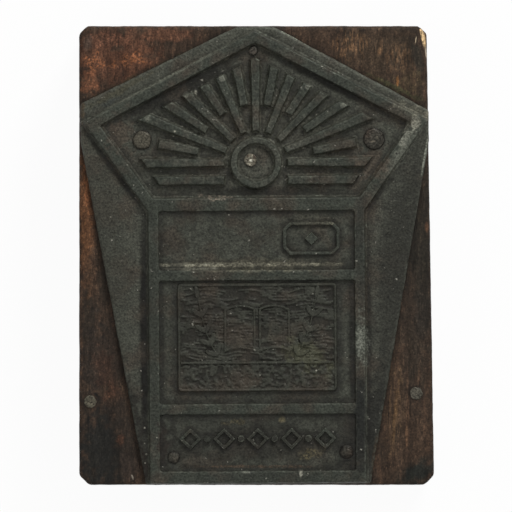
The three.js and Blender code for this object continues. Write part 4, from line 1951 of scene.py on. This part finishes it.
def plate_finish(layout: PlateLayout) -> MetalFinish:
    """The dull grey-green metal of the plate, with its patches of wear and of brown dirt, painted shadows
    along its bars and a few painted highlights.

    Args:
        layout: The plate's layout.

    Returns:
        The finish.
    """
    pale_wear_and_glint = (124, 126, 114)
    pale = (150, 148, 134)
    brown = (74, 63, 53)
    dim = (38, 36, 31)
    shadow_dark = (16, 15, 12)
    ochre = (94, 86, 62)
    worn_tips = ((-21.1, 27), (-13.7, 31.4), (-6.8, 34.8), (10.2, 33), (17, 29.5))
    grains = ((-21.9, -33.7), (-21.9, -36.8), (-21.6, -38.9), (-21.8, -40.6), (-19.5, -35.6), (-16, 24.3))
    stains = (
        Stain(-29, 2, 5, 26, (52, 53, 46), 0.6, 8, 1.2),
        Stain(28.5, -2, 7, 34, (40, 40, 35), 0.85, -6, 1.2),
        Stain(-20.3, -17, 1.5, 32, (45, 47, 41), 0.6, 0.4, 1),
        Stain(20.3, 2, 1.5, 14, (42, 44, 39), 0.7, 0.4, 1),
        Stain(20.3, -33, 2, 14, (30, 31, 28), 1, 0.4, 1),
        Stain(-17, 35.1, 18, 0.32, (104, 106, 94), 0.8, 27.9, 0.8, 0.35),
        Stain(17, -35.5, 2.8, 7, (36, 34, 30), 0.6, 0, 1.4),
        Stain(-14, -38.6, 7, 2, (36, 33, 28), 0.6, 0, 1.4),
        Stain(0, -36.4, 19, 6, (38, 37, 32), 0.7, ragged=1.2),
        Stain(0, -43.4, 22, 1.8, (44, 46, 41), 0.5, 0, 1.2),
        Stain(-18.4, -36.8, 1.4, 5.6, (44, 38, 33), 0.85),
        Stain(14.5, 6.2, 1.3, 0.7, (98, 96, 82), crumbs=0.6),
        # Worn pale sill above the upper cross bar; the last of these four stains is a painted highlight on
        # the bar's upper edge.
        Stain(0, -1.9, 20, 1.7, (100, 97, 82), 0.8, 0.4, 0.9, 0.3),
        Stain(0, -1.75, 20, 0.6, (138, 134, 116), 0.75, 0.4, 1.2, 0.25),
        Stain(-13, -1.8, 7.5, 0.6, (136, 133, 116), 0.7, 0.4, 1, 0.1),
        Stain(-12.5, -2.6, 7, 0.4, (150, 148, 132), 0.9, 0.4, 1, 0.1),
        Stain(20.6, -16.9, 1.9, 6.5, (100, 102, 92), 0.8, 2, 1.8, 0.6),
        Stain(20.3, -16.9, 0.7, 3, (112, 114, 104), 0.7, 0, 1.8, 0.3),
        # Painted highlight along the right column bar's outer edge.
        Stain(21.5, -30, 0.16, 15, (96, 98, 88), 0.8, 0.4, 0.6),
        Stain(-11.9, 32.1, 0.4, 0.6, pale, 0.9),
        Stain(-4.2, -32.6, 2.6, 0.8, ochre, 0.5, 0, 3, 0.6),
        Stain(5, -31.9, 0.9, 0.7, (118, 110, 84), 0.8),
        Stain(10.7, -38.8, 2.4, 1.4, ochre, 0.6, 20, 3, 0.7),
        Stain(8.6, -42.7, 0.6, 0.9, pale, 0.8, 0, 2, 0.3),
        Stain(-2, -42.4, 1.1, 0.5, pale_wear_and_glint, 0.8, 0, 2, 0.4),
        Stain(0, -41.3, 15, 0.4, (96, 78, 62), 0.6, 0, 1.6, 0.6),
        Stain(28.9, 20.7, 1.9, 7.5, (92, 94, 84), 0.85, -36, 2.2, 0.15),
        Stain(31, 26, 1.5, 2.4, (134, 132, 118), 0.7, -36, 3, 0.2),
        Stain(29.4, 23.4, 1.2, 2.6, (122, 122, 110), 0.6, -36, 3, 0.2),
        Stain(30.2, 28.6, 4.4, 1.5, (92, 90, 78), 0.75, -27, 2.8, 0.2),
        Stain(33.2, 27.4, 1.2, 1.5, (112, 108, 94), 0.7, -27, 3, 0.2),
        Stain(-34.3, 28.2, 0.9, 3.2, (62, 52, 39), 0.9, ragged=1.6),
        Stain(-28.9, 30, 2.2, 0.7, (46, 50, 48), 0.6, 24),
        Stain(-27, 32.2, 9, 0.9, (66, 63, 48), 0.5, 27.9, 2),
        Stain(-8, 11.3, 4.5, 0.7, (118, 108, 95), 0.7, ragged=4, crumbs=0.8),
        # Painted highlight on the upper edge of the flange at the right of the apex.
        Stain(8, 42.5, 3.6, 0.45, (132, 134, 120), 0.8, -27, crumbs=0.5),
        # Painted highlight along the right wing's outer edge.
        Stain(32.9, 19.4, 0.26, 5.2, pale_wear_and_glint, 0.9, -10, 1, 0.3),
        Stain(-26.5, 23.5, 3.5, 4.5, brown, 0.5),
        Stain(22.5, 18, 4.5, 4, brown, 0.6),
        Stain(-14.2, 21, 3, 4, (76, 75, 66), 0.45),
        Stain(6.6, 22, 4.4, 3.6, (76, 76, 68), 0.45),
        Stain(10.2, 6.8, 5.4, 3.2, (90, 87, 74), 0.4, ragged=1.8, crumbs=0.3),
        Stain(-16.4, -34.2, 1.3, 3.8, (32, 30, 26), 0.7, 0, 2.6),
        Stain(18.2, -38.6, 3.6, 5.6, (34, 34, 30), 0.7, 0, 1.4),
        Stain(-17.2, -39.3, 0.3, 1.1, (14, 13, 11), 0.95, -8, 1),
        Stain(17.7, -40.1, 1.2, 0.3, (14, 13, 11), 0.9, 10, 1),
        Stain(-24, -34, 3, 14, (30, 28, 24), 0.85, 8, 1.4),
        Stain(-22.4, -41.2, 1.7, 5.4, (34, 29, 24), 1, 6, 1),
        Stain(23.6, -32, 3.2, 14, (33, 33, 29), 0.9, -8, 1.2),
        Stain(23, -39.6, 0.6, 6.4, (50, 42, 32), 0.9, -8, 1.2),
        Stain(10, -20, 6, 3, (84, 84, 64), 0.4, -35),
        Stain(-10, -11, 6, 5, dim, 0.45),
        Stain(-1, 22, 20, 11, (86, 84, 74), 0.22, ragged=3.2, crumbs=0.3),
        *(Stain(x, y, 0.9, 0.8, (108, 109, 98), 0.6, ragged=3.2) for x, y in worn_tips),
        *(Stain(x, y, 0.24, 0.24, pale, 0.8, ragged=2) for x, y in grains),
    )
    # Painted shadows: dark bands along the feet of the bars and under the roof bars.
    painted_shadows = (
        Stain(-22.1, -17, 1.1, 31, shadow_dark, 1, 0.4, 0.8),
        Stain(-28.1, 16.8, 0.8, 11, shadow_dark, 0.9, 37.3, 0.8),
        Stain(23.3, 11.2, 0.8, 4.2, shadow_dark, 0.7, -33.7, 0.8),
        Stain(18.7, -17, 0.8, 27, shadow_dark, 0.9, 0.4, 0.8),
        Stain(21.9, -17, 0.8, 27, shadow_dark, 0.7, 0.4, 0.8),
        Stain(-18.6, -17, 0.7, 27, shadow_dark, 0.6, 0.4, 0.8),
        Stain(-15.3, 32.2, 17.5, 2.2, (26, 25, 21), 0.9, 27.9, 1),
        Stain(15.7, 33.2, 17.5, 1.7, (22, 21, 18), 0.85, -26.4, 1),
        Stain(0, 12.7, 19, 1.2, shadow_dark, 0.7, 0.4, 1.4),
    )
    return MetalFinish(
        name="dull_plate_metal",
        oxide=rgb(53, 56, 49),
        warm_oxide=rgb(60, 54, 46),
        floor_oxide=rgb(65, 66, 58),
        edge=rgb(112, 116, 104),
        dirt=rgb(20, 19, 15),
        speck=rgb(160, 157, 145),
        wall_foot=layout.floor + 0.3 * MM,
        wall_top=layout.top - 0.1 * MM,
        stains=stains,
        painted_shadows=painted_shadows,
    )


def picture_finish(plate: MetalFinish, layout: PlateLayout) -> MetalFinish:
    """The picture's finish: as the plate's, with dirt between its fine lines and little wear.

    Args:
        plate: The plate's finish.
        layout: The plate's layout.

    Returns:
        The finish.
    """
    return replace(
        plate,
        name="etched_picture_metal",
        oxide=rgb(53, 54, 47),
        floor_oxide=rgb(38, 37, 32),
        wall_foot=layout.picture_floor - 0.05 * MM,
        wall_top=layout.picture_floor + 0.22 * MM,
        wear=0.12,
        speckle=2.2,
        wall_shade_and_dirt=0.0,
        painted_shadows=(),
    )


def wood_finish() -> WoodFinish:
    """The dark stained wood of the mount, warm at the head, ink-black low on the left.

    Returns:
        The finish.
    """
    orange = (160, 102, 66)
    tan = (132, 100, 72)
    russet = (80, 54, 40)
    black = (26, 25, 22)
    stains = (
        Stain(-27.5, 39, 11.5, 8, (82, 55, 41), 0.9, ragged=1.2),
        Stain(-32, 38, 2.4, 2.2, orange, 0.45, 15, 3, 0.9),
        Stain(-24.4, 38.5, 4.6, 1.3, orange, 0.45, 14, 3, 0.9),
        Stain(-29, 42.2, 5.5, 2, (120, 82, 64), 0.45, 0, 2.4, 1),
        Stain(-27.4, 40.6, 1.8, 0.9, (54, 46, 37), 0.6, 20),
        Stain(-26.1, 43.6, 0.4, 1.2, (48, 42, 32)),
        Stain(-33, 41.4, 1.2, 2.2, (70, 58, 50), 0.7),
        Stain(-33, 34.2, 2.4, 3.2, (116, 76, 54), 0.7, 0, 2.4, 0.3),
        Stain(-17.5, 43.4, 7, 1.9, (96, 66, 50), 0.8, 0, 1.6),
        Stain(-20.5, 36, 15, 1.2, (54, 49, 36), 0.7, 25.4),
        Stain(24, 39.5, 10, 7, (66, 54, 42), 0.7, ragged=1.2),
        Stain(18.5, 41.3, 5, 3.6, tan, 0.45, 4, 1.2, 1, 0.24),
        Stain(27.6, 38.6, 4, 3.6, tan, 0.3, -3, 1.2, 1, 0.24),
        Stain(24.2, 40.5, 0.6, 2.4, tan, 0.5, -6, 1.6, 0.6, 0.3),
        Stain(31.6, 38.8, 1.5, 4.2, (38, 35, 29), 0.85, 16, 1.6),
        Stain(26.4, 43.4, 7, 1, (58, 46, 36), 0.6),
        Stain(32.6, 42.7, 0.5, 2.2, (206, 176, 132), 0.95, 13, 1.2),
        Stain(31.2, 42.3, 0.22, 1.2, (176, 160, 134), 0.8, -8, 1.2),
        Stain(33.2, 39.6, 0.2, 1.6, (170, 156, 136), 0.8, 4, 1.2),
        Stain(29.5, 33.6, 4.2, 3.2, (84, 72, 52), 0.5, 0, 1.8, 0.6, 0.2),
        Stain(27.3, 32.8, 7, 0.8, (66, 64, 44), 0.8, -25.7, 1.8),
        Stain(27.6, 34.3, 0.4, 1.3, (150, 104, 62), 0.8, 0, 1.6, 0.4, 0.4),
        Stain(-33.4, 8, 2, 19, (100, 68, 45), 0.8, ragged=1.4),
        Stain(-33, 14, 1.4, 8, orange, 0.35, 0, 1.4, 1, 0.3),
        Stain(-32.4, -3.8, 2.2, 6, (66, 50, 38), ragged=1.4),
        Stain(-31.8, -20.5, 4, 10, (40, 34, 29), 0.8),
        Stain(-28.4, -18.5, 3.6, 9.5, (42, 36, 30), 0.6, 10, 1.4),
        Stain(-29.9, -22, 2.6, 5.5, (66, 46, 35), 0.5, 12, 2),
        Stain(-30.5, -38.4, 6.4, 12, black, 1, ragged=1.4),
        Stain(-28.2, -27, 2.2, 2.4, russet, 0.6),
        Stain(-26.4, -33, 2.8, 9, (40, 34, 28), 0.8, 10, 1.4),
        Stain(-26.6, -36, 1, 2, russet, 0.55),
        Stain(-24.8, -41.2, 2.6, 4.4, (48, 40, 34), 0.85, 8, 1.2),
        Stain(-33, -33, 0.25, 3.4, (14, 12, 10), 0.9, ragged=0.8),
        Stain(-24.3, -43.4, 0.2, 0.6, (150, 142, 128), 0.7, 20, 2, 0.3),
        # Painted shade in the dent at the left pin's upper right.
        Stain(-31.4, -27.3, 0.5, 0.9, (14, 13, 11), 0.95, 40, 1),
        Stain(31, -10, 5, 24, (46, 41, 34), 0.55, 0, 1.2),
        Stain(32.4, 5, 3, 20, (34, 31, 25), 0.85, -3, 1.2),
        Stain(33.3, 5.6, 0.5, 2, (84, 60, 44), 0.6),
        Stain(32.6, -11, 2.6, 7, (38, 34, 29), 0.7, 0, 1.2),
        # Painted shade in the dents round the two side pins.
        Stain(-32.5, -28.5, 1.3, 1.3, (18, 16, 13), 0.95, ragged=1.6),
        Stain(31.2, -27, 1.25, 1.25, (20, 17, 14), 0.9, ragged=1.6),
        Stain(27, -31, 2.4, 14, (94, 74, 54), 0.4, -3, 1.2, 0.9, 0.14),
        Stain(27.2, -30.8, 0.6, 9, (104, 80, 54), 0.6, -6, 1.2, 0.6, 0.2),
        Stain(29.6, -30, 0.5, 9.5, (104, 80, 62), 0.6, 0, 1.2, 0.7, 0.2),
        Stain(29.4, -35, 0.35, 4, (116, 88, 66), 0.6, 0, 1.2, 0.5, 0.2),
        Stain(31.6, -42.4, 5, 2.5, (29, 30, 26), 1, 36, 1.6),
    )
    return WoodFinish(
        name="dark_stained_hardwood",
        dark=rgb(42, 35, 28),
        brown=rgb(60, 47, 37),
        warm=rgb(74, 56, 43),
        fibre=(2.6, 2.5, 2.4, 1.0),
        pore=rgb(22, 17, 14),
        dirt=rgb(20, 18, 15),
        stains=stains,
    )


def nail_finish(name: str, tone: Colour, crown: float) -> MetalFinish:
    """The tarnished iron of a nail, with painted shade and dirt on the sides of its head below the crown.

    Args:
        name: The material's name.
        tone: Its main colour.
        crown: The level of the head's crown.

    Returns:
        The finish.
    """
    paler = tuple(min(1.0, channel * NAIL_EDGE_GAIN) for channel in tone)
    return MetalFinish(
        name=name,
        oxide=tone,
        warm_oxide=tuple(channel * share for channel, share in zip(tone, RUST_SHARES)),
        floor_oxide=tone,
        edge=paler,
        dirt=rgb(16, 14, 11),
        speck=paler,
        wall_foot=crown - 0.8 * MM,
        wall_top=crown,
        metallic=0.5,
        roughness=0.5,
        speckle=4.0,
        # Painted shade on the head's sides, mixed with dirt.
        wall_shade_and_dirt=0.9,
    )


def build_nails(shared: SharedEffects) -> tuple[list[Vector], list[Vector]]:
    """Builds the nails of the plate and the pins in the bare wood.

    Args:
        shared: The shared groups.

    Returns:
        Points round the nails' rims, and round the pins'.
    """
    centre_nail_glint_and_marks = (
        # The first two are a painted glint on the centre nail's head; the rest are dark marks.
        Stain(-1.1, 18.6, 0.35, 0.25, (236, 232, 214), 0.95, -20),
        Stain(-1.4, 17.8, 1, 0.24, (150, 144, 128), 0.7, -25),
        Stain(-0.5, 19.5, 0.34, 1, (54, 44, 36), 0.9, 15),
        Stain(-1.8, 18.7, 0.3, 0.22, (34, 30, 24), 1),
        Stain(-1.7, 19.5, 0.45, 0.3, (60, 49, 40), 0.9, 20),
    )
    scraped_marks = (
        Stain(22.6, 22.3, 0.9, 0.25, (98, 92, 80), 0.8, 12),
        Stain(23.6, 23.1, 0.3, 0.5, (96, 92, 80), 0.8, 30),
        Stain(22.8, 23.4, 0.8, 0.2, (30, 27, 22), 0.8, -8),
    )
    nails = [
        Nail("head_nail_left", NailHead.FLAT, rgb(66, 63, 54)),
        Nail("head_nail_right", NailHead.FLAT, rgb(51, 49, 43), scraped_marks),
        Nail("apex_nail", NailHead.FLAT, rgb(57, 57, 52)),
        Nail("centre_nail", NailHead.DOMED, rgb(99, 95, 83), centre_nail_glint_and_marks),
        Nail("foot_nail_left", NailHead.DOMED, rgb(57, 55, 48)),
        Nail("foot_nail_right", NailHead.DOMED, rgb(46, 44, 38)),
    ]
    pins = [
        Nail("side_pin_left", NailHead.FLUSH, rgb(83, 79, 67)),
        Nail("side_pin_right", NailHead.FLUSH, rgb(74, 71, 62)),
    ]
    for nail in nails + pins:
        nail.build(shared)
    rims, pin_rims = ([point for nail in group for point in nail.rim_points()] for group in (nails, pins))
    return rims, pin_rims


def main() -> None:
    """Builds the block, the plate, the nails and the studio, and reports each piece."""
    logging.basicConfig(level=logging.INFO, format="%(message)s")
    shared = SharedEffects()
    plate_low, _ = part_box(PLATE_NODE)
    layout = PlateLayout(back=plate_low.z, plate_foot=PLATE_FOOT)
    metal = plate_finish(layout)
    frame_bars = FrameBars(layout).build()
    ornaments = [kind(layout).build() for kind in (WornRidge, Sunburst, Cartouche, LozengeBand)]
    pictures = Picture(layout).build()
    grounds = PanelGrounds(layout).build()
    surface = metal.material(shared)
    etched = picture_finish(metal, layout).material(shared)
    for piece in (frame_bars, *ornaments, *pictures, grounds):
        piece.place(turn=layout.turn)
        piece.hand_over(etched if piece in pictures else surface, Slot.METAL, PLATE_NODE)
    walls = layout.sheltered_feet(frame_bars, *pictures)
    carved = layout.sheltered_feet(*ornaments)
    rims, pin_rims = build_nails(shared)
    # Painted shade and dirt at the feet of walls, ornaments and nails, and on the wood along the plate's
    # edge and round the pins.
    plate_shade_and_dirt = [(walls, WALL_SHADE_AND_DIRT_REACH), (carved, ORNAMENT_SHADE_AND_DIRT_REACH), (rims, NAIL_SHADE_AND_DIRT_REACH)]
    grounds.mark_crevices(plate_shade_and_dirt)
    sheet_metal = replace(metal, name="dull_sheet_metal", wear=0.35)
    sheet = BaseSheet(layout, sheet_metal).build(shared, plate_shade_and_dirt)
    edge = [v.co.copy() for v in sheet.thing.data.vertices if v.co.z < layout.back + NEAR_LEVEL]
    wood_shade_and_dirt = [(edge, EDGE_SHADE_AND_DIRT_REACH), (pin_rims, PIN_SHADE_AND_DIRT_REACH)]
    MountBlock(wood_finish()).build(shared, wood_shade_and_dirt)
    Studio().build()


if __name__ == "__main__":
    main()
